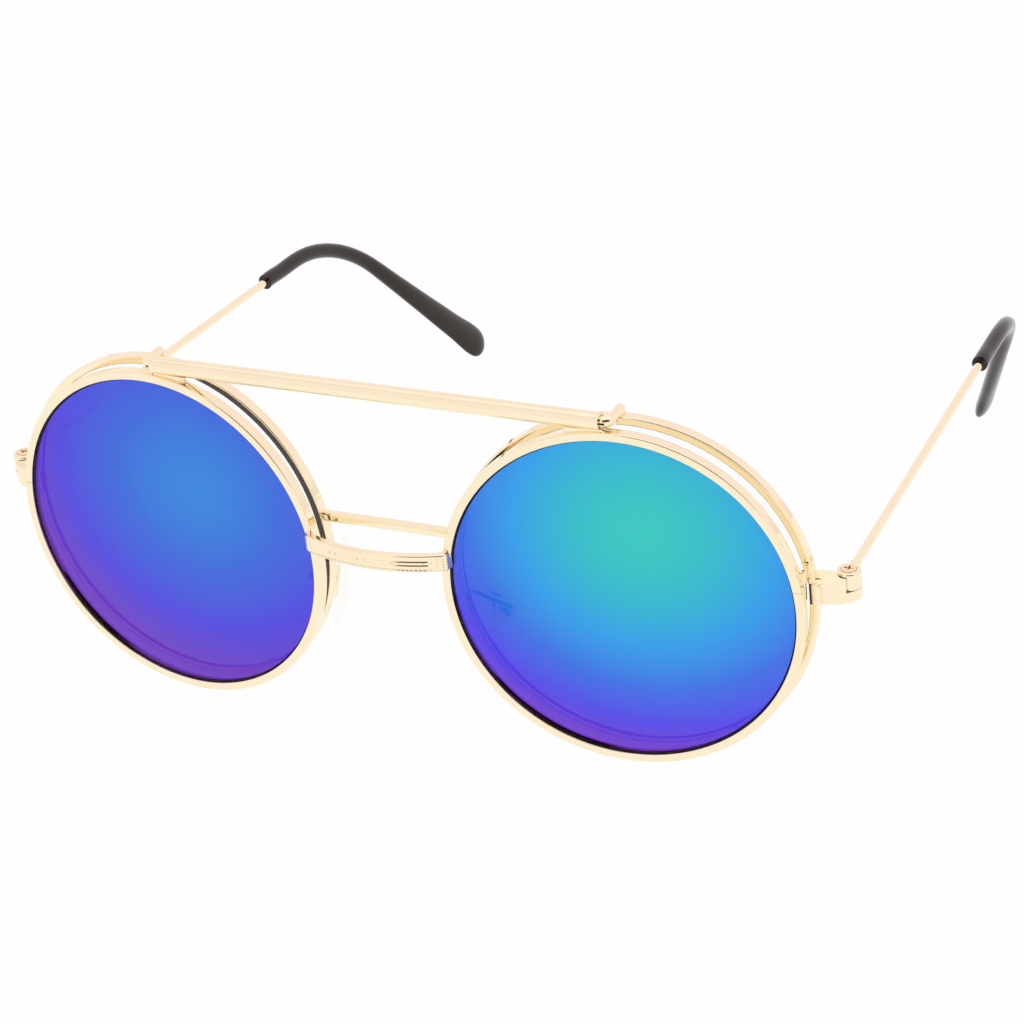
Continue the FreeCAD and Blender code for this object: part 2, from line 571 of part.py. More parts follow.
def tip_length():
    bend_start, _, bend_end = corner_arc(TIP_START, TIP_CORNER, TIP_END, TIP_BEND_R)
    straight = bend_start.distanceToPoint(TIP_START) + bend_end.distanceToPoint(TIP_END)
    return straight + TIP_BEND_R * WIRE_WAY.getAngle(TIP_WAY)


def temple_tip():
    """Sleeve that swells past the ear bend into a flat rounded paddle."""
    total = tip_length()
    swell = total * TIP_SWELL_START
    dome = total - TIP_PADDLE_WIDTH / 2
    side = WIRE_WAY.cross(TIP_WAY).normalize()
    sleeve = 2 * TIP_SLEEVE_R
    distances = [dome * step / 14 for step in range(15)]
    distances += [dome + (total - dome) * share for share in (0.45, 0.75, 0.93, 0.99)]
    rings = []
    for distance in distances:
        point, heading = tip_station(distance)
        grow = min(1.0, max(0.0, (distance - swell) / (dome - swell)))
        width = sleeve * TIP_SLEEVE_OVAL
        width += (TIP_PADDLE_WIDTH - width) * grow ** TIP_SWELL_POWER
        thickness = sleeve + (TIP_PADDLE_THICKNESS - sleeve) * grow
        if distance > dome:
            round_off = math.sqrt(1 - ((distance - dome) / (total - dome)) ** 2)
            width *= round_off
            thickness *= round_off
        broad_end = point + heading.cross(side) * (width / 2)
        rings.append(Part.Wire(Part.Ellipse(broad_end, point + side * (thickness / 2), point).toShape()))
    return Part.makeLoft(rings, True, False).cut(temple_rod(TIP_START - WIRE_WAY, WIRE_R + WIRE_FIT))


PAD_PLACE = FreeCAD.Placement(FreeCAD.Vector(PAD_OUT, PAD_BACK, PAD_Z),
                              FreeCAD.Rotation(Z_AXIS, PAD_SPLAY) * FreeCAD.Rotation(X_AXIS, -PAD_TILT))


def pad_screw():
    """Slotted cross screw through the pad box, in the pad's frame."""
    half = BOX_WIDTH / 2
    start = FreeCAD.Vector(-half, PAD_PIVOT_SET, 0)
    screw = cylinder(PAD_SCREW_R, start, X_AXIS, BOX_WIDTH)
    screw = screw.fuse(cylinder(PAD_SCREW_HEAD_R, start, -X_AXIS, PAD_SCREW_HEAD)).removeSplitter()
    slot_low = FreeCAD.Vector(-half - PAD_SCREW_HEAD - OVERRUN, PAD_PIVOT_SET - OVERRUN, -PAD_SCREW_HEAD / 4)
    slot_high = FreeCAD.Vector(-half - PAD_SCREW_HEAD / 2, PAD_PIVOT_SET + OVERRUN, PAD_SCREW_HEAD / 4)
    return screw.cut(block(slot_low, slot_high))


def pad_box():
    """Small yoke on the pad arm, slotted for the pad's stem."""
    half = FreeCAD.Vector(BOX_WIDTH, BOX_DEPTH, BOX_HEIGHT) * 0.5
    slot_low = FreeCAD.Vector(-BOX_SLOT / 2, BOX_BACK - half.y, -half.z - OVERRUN)
    slot_high = FreeCAD.Vector(BOX_SLOT / 2, half.y + OVERRUN, half.z + OVERRUN)
    yoke = block(-half, half, BOX_EDGE_R).cut(block(slot_low, slot_high))
    pivot = FreeCAD.Vector(-half.x, PAD_PIVOT_SET, 0)
    return yoke.cut(cylinder(PAD_SCREW_R, pivot, X_AXIS, BOX_WIDTH))


def pad_plate():
    """Oval plate moulded into the pad."""
    centre = FreeCAD.Vector(0, PLATE_OFFSET, 0)
    oval = Part.Ellipse(centre + Z_AXIS * (PLATE_LENGTH / 2), centre + X_AXIS * (PLATE_WIDTH / 2), centre)
    return Part.Face(Part.Wire(oval.toShape())).extrude(Y_AXIS * PLATE_THICKNESS)


def pad_stem():
    """Plate with an eye that rocks on the pad screw."""
    half = BOX_SLOT / 2 - STEM_SIDE_GAP
    pivot = FreeCAD.Vector(-half, PAD_PIVOT_SET, 0)
    neck = block(FreeCAD.Vector(-half, PAD_PIVOT_SET, -STEM_NECK / 2),
                 FreeCAD.Vector(half, PLATE_OFFSET + PLATE_THICKNESS / 2, STEM_NECK / 2))
    stem = pad_plate().fuse(neck).fuse(cylinder(STEM_EYE_R, pivot, X_AXIS, 2 * half)).removeSplitter()
    return stem.cut(cylinder(PAD_SCREW_R + HINGE_CLEARANCE, pivot, X_AXIS, 2 * half))


def nose_pad():
    """Egg-shaped soft pad, narrower at the top, with its edge rounded over."""
    top = FreeCAD.Vector(0, PLATE_OFFSET, PAD_LENGTH / 2 - PAD_TOP_R)
    bottom = FreeCAD.Vector(0, PLATE_OFFSET, PAD_BOTTOM_R - PAD_LENGTH / 2)
    lean = math.asin((PAD_BOTTOM_R - PAD_TOP_R) / (top.z - bottom.z))
    out = FreeCAD.Vector(math.cos(lean), 0, math.sin(lean))
    inn = FreeCAD.Vector(-out.x, 0, out.z)
    top_out = top + out * PAD_TOP_R
    top_in = top + inn * PAD_TOP_R
    bottom_in = bottom + inn * PAD_BOTTOM_R
    bottom_out = bottom + out * PAD_BOTTOM_R
    egg = Part.Face(Part.Wire([
        Part.Arc(top_out, top + Z_AXIS * PAD_TOP_R, top_in).toShape(),
        Part.LineSegment(top_in, bottom_in).toShape(),
        Part.Arc(bottom_in, bottom - Z_AXIS * PAD_BOTTOM_R, bottom_out).toShape(),
        Part.LineSegment(bottom_out, top_out).toShape(),
    ]))
    pad = egg.extrude(Y_AXIS * PAD_THICKNESS)
    flat_edges = [edge for edge in pad.Edges if edge.BoundBox.YLength < PAD_EDGE_R]
    return pad.makeFillet(PAD_EDGE_R, flat_edges).cut(pad_plate())


def pad_arm(rear_ring, box):
    """Bent wire from the back of the rear rim to the pad box."""
    turn = math.radians(ARM_ANGLE)
    middle_r = REAR_APERTURE_R + RIM_WIDTH / 2
    on_rim = FreeCAD.Vector(middle_r * math.cos(turn), RIM_DEPTH, middle_r * math.sin(turn))
    root = REAR_PLACE.multVec(on_rim)
    back = PAD_PLACE.multVec(FreeCAD.Vector(0, BOX_BACK / 2 - BOX_DEPTH / 2, 0))
    approach = PAD_PLACE.multVec(FreeCAD.Vector(0, -BOX_DEPTH / 2 - ARM_RETURN, 0))
    start = root - Y_AXIS * (RIM_DEPTH - GROOVE_SETBACK - GROOVE_HALF)
    points = [start, root + Y_AXIS * ARM_RUN, approach, back]
    arm = bent_rod(points, [0, ARM_BEND_R, ARM_RETURN_R, 0], ARM_R)
    return arm.cut(rear_ring).cut(box)


def right_and_left(nodes, name, shape):
    nodes[name + "_right"] = shape
    nodes[name + "_left"] = mirrored(shape)


def both(shape):
    """One shape and its mirror image, kept as separate solids."""
    return Part.makeCompound([shape, mirrored(shape)])


def build_nodes():
    """Every piece of the glasses, temples open and front down, in the frame of the front."""
    nodes = {}
    front_ring = placed(rim_ring(FRONT_APERTURE_R), FRONT_PLACE)
    rear_ring = placed(rim_ring(REAR_APERTURE_R), REAR_PLACE)
    front_rings = [front_ring, mirrored(front_ring)]
    rear_rings = [rear_ring, mirrored(rear_ring)]

    rear_low, rear_high = rear_lock_box()
    rear_locks = [placed(piece, REAR_PLACE) for piece in lock_halves(rear_low, rear_high, REAR_LOCK_Z)]
    lock_room = placed(rear_lock_room(), REAR_PLACE)
    right_and_left(nodes, "rear_rim", placed(rear_rim(), REAR_PLACE))
    right_and_left(nodes, "rear_lens", placed(lens(REAR_APERTURE_R), REAR_PLACE))
    right_and_left(nodes, "rear_lock_upper", rear_locks[0])
    right_and_left(nodes, "rear_lock_lower", rear_locks[1])
    nodes["rear_lock_screws"] = both(rear_locks[2])
    nodes["rear_bridge_bar"] = rear_bridge_bar(rear_rings)
    right_and_left(nodes, "endpiece", endpiece(rear_ring, lock_room))
    nodes["hinge_screws"] = both(hinge_screw())
    right_and_left(nodes, "pivot_hook", pivot_hook(rear_ring))

    box = placed(pad_box(), PAD_PLACE)
    right_and_left(nodes, "nose_pad_arm", pad_arm(rear_ring, box))
    right_and_left(nodes, "nose_pad_box", box)
    nodes["nose_pad_screws"] = both(placed(pad_screw(), PAD_PLACE))
    right_and_left(nodes, "nose_pad_stem", placed(pad_stem(), PAD_PLACE))
    right_and_left(nodes, "nose_pad", placed(nose_pad(), PAD_PLACE))

    front_locks_placed = [placed(piece, FRONT_PLACE) for piece in front_locks()]
    front_rim = rim_ring(FRONT_APERTURE_R).cut(saw_cut(FRONT_APERTURE_R, FRONT_LOCK_Z))
    right_and_left(nodes, "front_rim", placed(front_rim, FRONT_PLACE))
    right_and_left(nodes, "front_lens", placed(lens(FRONT_APERTURE_R), FRONT_PLACE))
    right_and_left(nodes, "front_lock_upper", front_locks_placed[0])
    right_and_left(nodes, "front_lock_lower", front_locks_placed[1])
    nodes["front_lock_screws"] = both(front_locks_placed[2])
    nodes["hinge_tube"] = hinge_tube(front_rings)
    nodes["front_bridge"] = front_bridge(front_rings)

    right_and_left(nodes, "temple_hinge", temple_hinge())
    right_and_left(nodes, "temple_wire", temple_wire())
    right_and_left(nodes, "temple_tip", temple_tip())
    return nodes


def lowest(shape, angle):
    leaned = placed(shape, FreeCAD.Placement(ORIGIN, FreeCAD.Rotation(X_AXIS, angle)))
    return leaned.optimalBoundingBox().ZMin


def resting_placement(nodes):
    """Lean and lift that stand front rims and temple tips on one plane, centred over the origin."""
    lean = 0.0
    for _ in range(6):
        step = lowest(nodes["front_rim_right"], lean) - lowest(nodes["temple_tip_right"], lean)
        lean += math.degrees(math.atan2(step, TIP_END.y))
    rotation = FreeCAD.Rotation(X_AXIS, lean)
    turned = placed(Part.makeCompound(list(nodes.values())), FreeCAD.Placement(ORIGIN, rotation))
    bounds = turned.optimalBoundingBox()
    shift = FreeCAD.Vector(-bounds.Center.x, -bounds.Center.y, -bounds.ZMin)
    return FreeCAD.Placement(shift, rotation)


def main():
    os.makedirs("parts", exist_ok=True)
    nodes = build_nodes()
    rest = resting_placement(nodes)
    for name, shape in nodes.items():
        placed(shape, rest).exportStep("parts/" + name + ".step")


main()
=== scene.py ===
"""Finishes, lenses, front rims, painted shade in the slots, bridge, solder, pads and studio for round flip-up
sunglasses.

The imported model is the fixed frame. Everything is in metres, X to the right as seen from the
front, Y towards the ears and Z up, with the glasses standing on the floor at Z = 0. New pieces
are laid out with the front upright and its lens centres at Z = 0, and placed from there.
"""
import json
import math

import bmesh
import bpy
from bpy.props import FloatProperty, FloatVectorProperty, PointerProperty
from mathutils import Matrix, Vector


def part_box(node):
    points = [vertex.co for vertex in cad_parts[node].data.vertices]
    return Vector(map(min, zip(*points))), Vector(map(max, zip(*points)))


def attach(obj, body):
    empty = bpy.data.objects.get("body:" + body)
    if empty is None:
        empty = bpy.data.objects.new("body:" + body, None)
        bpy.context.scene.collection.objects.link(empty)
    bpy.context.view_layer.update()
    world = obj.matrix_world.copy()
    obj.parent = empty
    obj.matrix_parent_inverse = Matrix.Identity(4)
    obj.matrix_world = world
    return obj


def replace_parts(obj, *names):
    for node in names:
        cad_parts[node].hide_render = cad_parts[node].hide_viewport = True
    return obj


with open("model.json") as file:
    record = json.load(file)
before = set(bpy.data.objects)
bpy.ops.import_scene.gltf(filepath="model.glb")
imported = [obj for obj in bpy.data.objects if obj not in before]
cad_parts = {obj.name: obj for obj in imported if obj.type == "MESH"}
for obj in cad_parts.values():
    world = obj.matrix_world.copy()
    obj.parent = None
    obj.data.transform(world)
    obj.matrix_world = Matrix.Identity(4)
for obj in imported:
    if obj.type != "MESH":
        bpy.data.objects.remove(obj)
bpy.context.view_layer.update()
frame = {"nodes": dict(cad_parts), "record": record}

MM = 0.001
SIDES = {"right": 1, "left": -1}

# The brow tube's axis in the front's own frame, in millimetres, from which that frame is found again.
TUBE_AXIS = Vector((0, 1.1, 26.85))

# Meshes: vertices closer than this are one, and a rounded edge has this many steps.
MERGE_DISTANCE = 1e-7
CORNER_STEPS = 5

# Finishes: how deep the grain is, and the share of the polish that it leaves and adds.
GRAIN_DEPTH = 0.02 * MM
GRAIN_FLOOR, GRAIN_SWING = 0.6, 0.8

# Coatings: the heart's place from the lens centre in millimetres, then the sweep's start, gain and tone.
# Each sweep is partly the coating's own gradient and partly painted reflection colour: the interference
# colour that shifts with the angle the lens is seen at, laid on by place, one set per lens.
# The left lens's lower tone is painted shade on the same coating.
SWEEPS = {"right": {"out": 4.29, "up": 11.19, "base": 0.148, "gain": 0.394, "tone": 1.0},
          "left": {"out": -6.44, "up": 8.9, "base": 0.495, "gain": 0.302, "tone": 0.91}}
SWEEP_REACH = 24 * MM
SWEEP_STRETCH, SWEEP_POWER = 1.074, 1.69

# Strap's engraved lines as (level, half width) in millimetres, the lowest of them under the row of beads.
BEAD_LEVEL = -0.93
GROOVES = ((BEAD_LEVEL, 0.15), (-0.16, 0.14), (0.41, 0.14))

# Tent's cloth by the height of the direction, with one darker seam, and how soft the opening's edges are.
TENT_CLOTH = ((0.0, (0.88, 0.84, 0.85)), (0.14, (0.98, 0.94, 0.96)), (0.5, (0.98, 0.91, 0.95)),
              (0.74, (0.98, 0.9, 0.95)), (0.8, (0.88, 0.82, 0.8)), (0.86, (1, 1, 1)))
PORT_BLUR = 0.1
SILL_BLUR = math.radians(2.5)
WHITE = (1, 1, 1, 1)

bl_info = {
    "name": "Flip-Up Sunglasses",
    "version": (1, 0, 0),
    "blender": (4, 5, 0),
    "location": "View3D > Sidebar > Sunglasses",
    "description": "Dresses the packed flip-up sunglasses and sets up a plain studio",
    "category": "Object",
}


def srgb(red, green, blue):
    """Linear colour of a shade given as it shows on screen, 0 to 255."""
    def linear(value):
        share = value / 255
        return share / 12.92 if share <= 0.04045 else ((share + 0.055) / 1.055) ** 2.4
    return linear(red), linear(green), linear(blue)


def colour_property(name, description, default):
    """Linear colour setting."""
    return FloatVectorProperty(name=name, description=description, subtype="COLOR", size=3, min=0, max=1,
                               default=default)


def length_property(name, description, millimetres):
    """Length setting, given in millimetres."""
    return FloatProperty(name=name, description=description, unit="LENGTH", subtype="DISTANCE", precision=5,
                         default=millimetres * MM)


def share_property(name, description, default):
    """Setting from 0 to 1."""
    return FloatProperty(name=name, description=description, subtype="FACTOR", min=0, max=1, default=default)


def angle_property(name, description, degrees):
    """Angle setting, given in degrees."""
    return FloatProperty(name=name, description=description, subtype="ANGLE", default=math.radians(degrees))


class GoldSettings(bpy.types.PropertyGroup):
    """Plating and screws"""
    colour: colour_property("Gold", "Main tone of the plating", srgb(254, 242, 212))
    warm: colour_property("Warm gold", "Tone of the thinner plating", srgb(253, 235, 201))
    # The strokes' tone is painted shade: darker gold for the shade and dark reflections in the engraved cuts.
    stroke_shade: colour_property("Recess", "Tone of the engraved strokes", srgb(170, 126, 80))
    screw: colour_property("Screw", "Tone of the screws", srgb(248, 226, 184))
    roughness: share_property("Roughness", "Polish of the plating", 0.06)
    softness: length_property("Softness", "Rounding that the plating gives to edges", 0.07)
    # The slot tone is painted shade: the dark of the deep slot beside each end rib.
    slot: colour_property("Slot", "Tone of the dark slots beside the end ribs", srgb(112, 74, 44))


class LensSettings(bpy.types.PropertyGroup):
    """Coated front lenses and clear rear ones"""
    # The coating's colours are partly its own and partly painted reflection colour for the angle each part of
    # the lens is seen at.
    heart: colour_property("Heart", "Coating where it is greenest", srgb(46, 237, 191))
    sky: colour_property("Sky", "Coating next to the heart", srgb(16, 206, 215))
    blue: colour_property("Blue", "Coating half way out", srgb(16, 168, 252))
    deep: colour_property("Deep blue", "Coating further out", srgb(46, 115, 248))
    violet: colour_property("Violet", "Coating near the rim", srgb(80, 66, 252))
    edge: colour_property("Edge", "Coating at the rim", srgb(119, 54, 221))
    cover: share_property("Cover", "How much the coating hides what is behind it", 0.8)
    smoke: colour_property("Smoke", "Dark inner side of the coated lenses", srgb(58, 36, 12))
    smoke_cover: share_property("Smoke cover", "How much the inner side hides", 0.78)
    # The shade and its band are painted shade: a dark ring round the front of each coated lens, standing for
    # the shade in the rim's groove and its dark reflections.
    shade: colour_property("Shade", "Dark band at the edge of the coated lenses", srgb(16, 9, 26))
    edge_band: length_property("Edge band", "Width of the dark band", 0.24)
    glass: colour_property("Glass", "Tint of the clear lenses", srgb(252, 253, 253))
    half_spacing: length_property("Half spacing", "Front lens centre from the middle", 35.2)
    wrap: angle_property("Wrap", "Turn of each lens outward", 5.6)
    aperture: length_property("Aperture", "Radius of the front rims' opening", 24.5)
    rear_aperture: length_property("Rear aperture", "Radius of the rear rims' opening", 24.8)
    rear_out: length_property("Rear out", "Rear lens centre outward of the front one", 0.7)
    rear_up: length_property("Rear up", "Rear lens centre over the front one", 0.55)
    rear_behind: length_property("Rear behind", "Rear lip plane behind the front one", 3.35)
    curve_radius: length_property("Curve radius", "Radius of the lens domes", 180)
    thickness: length_property("Thickness", "Thickness of a lens", 1.0)
    set_back: length_property("Set back", "Lens edge behind the lip", 1.1)
    groove_depth: length_property("Groove depth", "Depth of the rim's groove", 0.45)
    groove_half: length_property("Groove half", "Half the groove's mouth", 0.4)
    clearance: length_property("Clearance", "Lens to rim", 0.03)


class RimSettings(bpy.types.PropertyGroup):
    """Front rims"""
    width: length_property("Width", "Rim's wire across its front", 1.2)
    depth: length_property("Depth", "Rim's wire from front to back", 1.75)
    edge_radius: length_property("Edge radius", "Rounding of the outer edges", 0.22)
    lip_radius: length_property("Lip radius", "Rounding of the edges at the lens", 0.12)
    cut_height: length_property("Cut height", "Saw cut over the lens centre", 3.8)
    cut: length_property("Cut", "Width of the saw cut", 0.04)


class BridgeSettings(bpy.types.PropertyGroup):
    """Strap of the front bridge"""
    height: length_property("Height", "Height of the strap", 2.65)
    thickness: length_property("Thickness", "Thickness of the strap", 1.138)
    edge_radius: length_property("Edge radius", "Rounding of the strap's edges", 0.3)
    level: length_property("Level", "Middle of the strap over the lens centres", 4.05)
    arc_radius: length_property("Arc radius", "Radius of the strap's shallow bow", 26.4)
    arc_centre: length_property("Arc centre", "Centre of the bow behind the lip plane", 21.36)
    corner_radius: length_property("Corner radius", "Radius of the strap's corners", 0.7)
    leg: length_property("Leg", "Straight leg into the rim", 0.83)
    arc_end: angle_property("Arc end", "Turn of the strap where the corner starts", 22.44)
    corner_end: angle_property("Corner end", "Turn of the strap where the leg starts", 70)
    groove_depth: length_property("Groove depth", "Depth of the engraved lines", 0.09)
    bead: length_property("Bead", "Size of the milled beads", 0.3)
    bead_pitch: length_property("Bead pitch", "Beads along the lower edge", 0.6)


class PlasticSettings(bpy.types.PropertyGroup):
    """Temple tips and the nose pads' tint"""
    tip: colour_property("Tip", "Dark gloss of the temple tips", srgb(50, 34, 28))
    tip_cloud: colour_property("Tip cloud", "Second tone of the temple tips", srgb(42, 28, 23))
    pad: colour_property("Pad", "Tint of the clear nose pads", srgb(254, 254, 251))
    pad_cloud: colour_property("Pad cloud", "Second tint of the nose pads", srgb(251, 250, 246))


class PadSettings(bpy.types.PropertyGroup):
    """Shape and place of the nose pads"""
    length: length_property("Length", "Height of a nose pad", 14.0)
    top_radius: length_property("Top radius", "Round of the pad's top", 3.1)
    bottom_radius: length_property("Bottom radius", "Round of the pad's bottom", 3.75)
    back: length_property("Back", "Pad's back from the pivot box", 1.5)
    thickness: length_property("Thickness", "Thickness of the pad's crown", 1.8)
    out: length_property("Out", "Pivot box from the middle", 14.5)
    behind: length_property("Behind", "Pivot box behind the lip plane", 6.8)
    below: length_property("Below", "Pivot box under the lens centres", 7.8)
    splay: angle_property("Splay", "Turn of the pad towards the nose", 62)
    tilt: angle_property("Tilt", "Lean of the pad", 13)


class StudioSettings(bpy.types.PropertyGroup):
    """Camera, paper and tent"""
    azimuth: angle_property("Azimuth", "Camera's turn round the glasses", 26.983)
    elevation: angle_property("Elevation", "Camera's height over the horizon", 26.295)
    roll: angle_property("Roll", "Camera's turn about its own axis", -4.719)
    distance: length_property("Distance", "Camera to the aim point", 481.447)
    aim: FloatVectorProperty(name="Aim", description="Point at the middle of the picture",
                             subtype="TRANSLATION", default=(14.576 * MM, -48.784 * MM, 31.249 * MM))
    focal: FloatProperty(name="Lens", description="Camera's focal length", unit="CAMERA", default=121.547)
    floor: colour_property("Floor", "Pale paper under the glasses", srgb(252, 252, 252))
    paper_white: share_property("Paper white", "How far the paper shows as plain white", 0.97)
    ambient: FloatProperty(name="Ambient", description="Strength of the tent's soft light", default=0.7)
    port: angle_property("Port", "Half angle of the dark opening at the camera", 34)
    sill: angle_property("Sill", "Height of the opening's lower edge over the horizon", 14)
    opening: colour_property("Opening", "Tone of the dark opening", (0.1, 0.055, 0.03))


class SunglassesSettings(bpy.types.PropertyGroup):
    """All settings of the sunglasses"""
    gold: PointerProperty(type=GoldSettings)
    lens: PointerProperty(type=LensSettings)
    rim: PointerProperty(type=RimSettings)
    bridge: PointerProperty(type=BridgeSettings)
    plastic: PointerProperty(type=PlasticSettings)
    pad: PointerProperty(type=PadSettings)
    studio: PointerProperty(type=StudioSettings)


# Frames and meshes

def front_frame():
    """Matrix from the front's own frame, in metres, to where the glasses stand."""
    joints = {joint["name"]: joint for joint in frame["record"]["behaviour"]["joints"]}
    upright = Vector(joints["temple_fold_right"]["axis"])
    turn = Matrix.Rotation(math.atan2(-upright.y, upright.z), 4, "X")
    pivot = Vector(joints["flip"]["pos_m"])
    return Matrix.Translation(pivot - turn @ (TUBE_AXIS * MM)) @ turn


def new_piece(name, mesh, body):
    """Object at the origin that moves with a body."""
    piece = bpy.data.objects.new(name, mesh)
    bpy.context.scene.collection.objects.link(piece)
    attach(piece, body)
    return piece


def close_mesh(name, bm, matrix, materials, degrees):
    """Mesh of a bmesh, placed, merged and facing outwards, smooth but for edges sharper than an angle."""
    bmesh.ops.transform(bm, matrix=matrix, verts=bm.verts)
    bmesh.ops.remove_doubles(bm, verts=bm.verts, dist=MERGE_DISTANCE)
    bmesh.ops.recalc_face_normals(bm, faces=bm.faces)
    mesh = bpy.data.meshes.new(name)
    bm.to_mesh(mesh)
    bm.free()
    for material in materials:
        mesh.materials.append(material)
    for face in mesh.polygons:
        face.use_smooth = True
    mesh.set_sharp_from_angle(angle=math.radians(degrees))
    return mesh


def loft(rings, row_materials=None):
    """Bmesh of closed rings joined in order, with both ends filled and a material for each row."""
    bm = bmesh.new()
    rows = [[bm.verts.new(point) for point in ring] for ring in rings]
    count = len(rows[0])
    for number, (row, following) in enumerate(zip(rows, rows[1:])):
        for index in range(count):
            after = (index + 1) % count
            face = bm.faces.new((row[index], row[after], following[after], following[index]))
            if row_materials:
                face.material_index = row_materials[number]
    caps = [bm.faces.new(rows[0]), bm.faces.new(rows[-1][::-1])]
    if row_materials:
        caps[0].material_index, caps[1].material_index = row_materials[0], row_materials[-1]
    return bm


# Material helpers

def new_material(name):
    """Material with its output and one Principled shader."""
    material = bpy.data.materials.new(name)
    material.use_nodes = True
    tree = material.node_tree
    return material, tree, tree.nodes["Principled BSDF"]


def add(tree, kind, **values):
    """Node of a kind, with its properties set."""
    node = tree.nodes.new(kind)
    for key, value in values.items():
        setattr(node, key, value)
    return node


def link(tree, source, target):
    """Link an output to an input."""
    tree.links.new(source, target)


def fill(tree, sockets, values):
    """Feed inputs in order, each from a socket or with a plain value."""
    for socket, value in zip(sockets, values):
        if isinstance(value, bpy.types.NodeSocket):
            link(tree, value, socket)
        else:
            socket.default_value = value


def fed(tree, kind, inputs, **values):
    """Node of a kind, with its properties set and its named inputs fed."""
    node = add(tree, kind, **values)
    fill(tree, [node.inputs[name] for name in inputs], inputs.values())
    return node


def math_node(tree, operation, *values):
    """Math node whose inputs are sockets or plain numbers."""
    node = add(tree, "ShaderNodeMath", operation=operation)
    fill(tree, node.inputs, values)
    return node.outputs[0]


def vector_node(tree, operation, *values):
    """Vector math node whose inputs are sockets or plain vectors."""
    node = add(tree, "ShaderNodeVectorMath", operation=operation)
    fill(tree, node.inputs, values)
    return node.outputs["Value" if operation in ("LENGTH", "DOT_PRODUCT") else "Vector"]


def mix_node(tree, factor, first, second, blend="MIX"):
    """Mix of two colours, each a socket or a plain colour."""
    node = fed(tree, "ShaderNodeMix", {"Factor": factor, "A": first, "B": second},
               data_type="RGBA", blend_type=blend)
    return node.outputs["Result"]


def soft_step(tree, value, low, high):
    """0 under one value and 1 over another, with a smooth rise between them."""
    node = fed(tree, "ShaderNodeMapRange", {"Value": value, "From Min": low, "From Max": high},
               interpolation_type="SMOOTHSTEP")
    return node.outputs["Result"]


def ramp_node(tree, factor, stops):
    """Colour ramp through (place, colour) stops."""
    node = fed(tree, "ShaderNodeValToRGB", {"Fac": factor})
    elements = node.color_ramp.elements
    while len(elements) < len(stops):
        elements.new(0.5)
    for element, (place, colour) in zip(elements, stops):
        element.position = place
        element.color = (*colour, 1)
    return node.outputs["Color"]


def new_group(name, inputs, outputs):
    """Shader node group with named sockets, each (name, kind, default)."""
    group = bpy.data.node_groups.new(name, "ShaderNodeTree")
    for socket_name, kind, default in inputs:
        socket = group.interface.new_socket(socket_name, in_out="INPUT", socket_type=kind)
        socket.default_value = default
    for socket_name, kind in outputs:
        group.interface.new_socket(socket_name, in_out="OUTPUT", socket_type=kind)
    return group, group.nodes.new("NodeGroupInput"), group.nodes.new("NodeGroupOutput")


def noise(tree, place, scale, detail):
    """Noise at a place, with its scale from a socket."""
    return fed(tree, "ShaderNodeTexNoise", {"Vector": place, "Scale": scale, "Detail": detail}).outputs["Fac"]


def finish_group(name, fine):
    """Uneven finish: two tones in soft clouds, and polish and height from a grain finer by a factor."""
    if name in bpy.data.node_groups:
        return bpy.data.node_groups[name]
    group, entry, leave = new_group(
        name,
        [("Main", "NodeSocketColor", WHITE), ("Second", "NodeSocketColor", WHITE),
         ("Polish", "NodeSocketFloat", 0.1), ("Scale", "NodeSocketFloat", 300.0)],
        [("Colour", "NodeSocketColor"), ("Roughness", "NodeSocketFloat"), ("Height", "NodeSocketFloat")])
    place = add(group, "ShaderNodeTexCoord").outputs["Object"]
    cloud = noise(group, place, entry.outputs["Scale"], detail=3)
    grain = noise(group, place, math_node(group, "MULTIPLY", entry.outputs["Scale"], fine), detail=2)
    colour = mix_node(group, cloud, entry.outputs["Main"], entry.outputs["Second"])
    link(group, colour, leave.inputs["Colour"])
    spread = math_node(group, "MULTIPLY_ADD", grain, GRAIN_SWING, GRAIN_FLOOR)
    link(group, math_node(group, "MULTIPLY", spread, entry.outputs["Polish"]), leave.inputs["Roughness"])
    link(group, grain, leave.inputs["Height"])
    return group


def sweep_group():
    """Place in the coating's colours, which grows from its start at the heart outward."""
    name = "Coating Sweep"
    if name in bpy.data.node_groups:
        return bpy.data.node_groups[name]
    group, entry, leave = new_group(
        name,
        [("Heart", "NodeSocketVector", (0, 0, 0)), ("Base", "NodeSocketFloat", 0.0),
         ("Gain", "NodeSocketFloat", 0.5), ("Reach", "NodeSocketFloat", SWEEP_REACH)],
        [("Sweep", "NodeSocketFloat")])
    place = add(group, "ShaderNodeTexCoord").outputs["Object"]
    offset = vector_node(group, "SUBTRACT", place, entry.outputs["Heart"])
    flat = vector_node(group, "MULTIPLY", offset, (1, 0, SWEEP_STRETCH))
    share = math_node(group, "DIVIDE", vector_node(group, "LENGTH", flat), entry.outputs["Reach"])
    curve = math_node(group, "POWER", share, SWEEP_POWER)
    gained = math_node(group, "MULTIPLY", curve, entry.outputs["Gain"])
    link(group, math_node(group, "ADD", gained, entry.outputs["Base"]), leave.inputs["Sweep"])
    return group


# Materials

def finished(name, group, main, second, polish, scale, relief):
    """Material whose tone, polish and fine relief come from a finish group."""
    material, tree, shader = new_material(name)
    values = {"Main": (*main, 1), "Second": (*second, 1), "Polish": polish, "Scale": scale}
    finish = fed(tree, "ShaderNodeGroup", values, node_tree=group)
    link(tree, finish.outputs["Colour"], shader.inputs["Base Color"])
    link(tree, finish.outputs["Roughness"], shader.inputs["Roughness"])
    if relief:
        grain = {"Strength": relief, "Distance": GRAIN_DEPTH, "Height": finish.outputs["Height"]}
        bump = fed(tree, "ShaderNodeBump", grain)
        link(tree, bump.outputs["Normal"], shader.inputs["Normal"])
    return material, shader


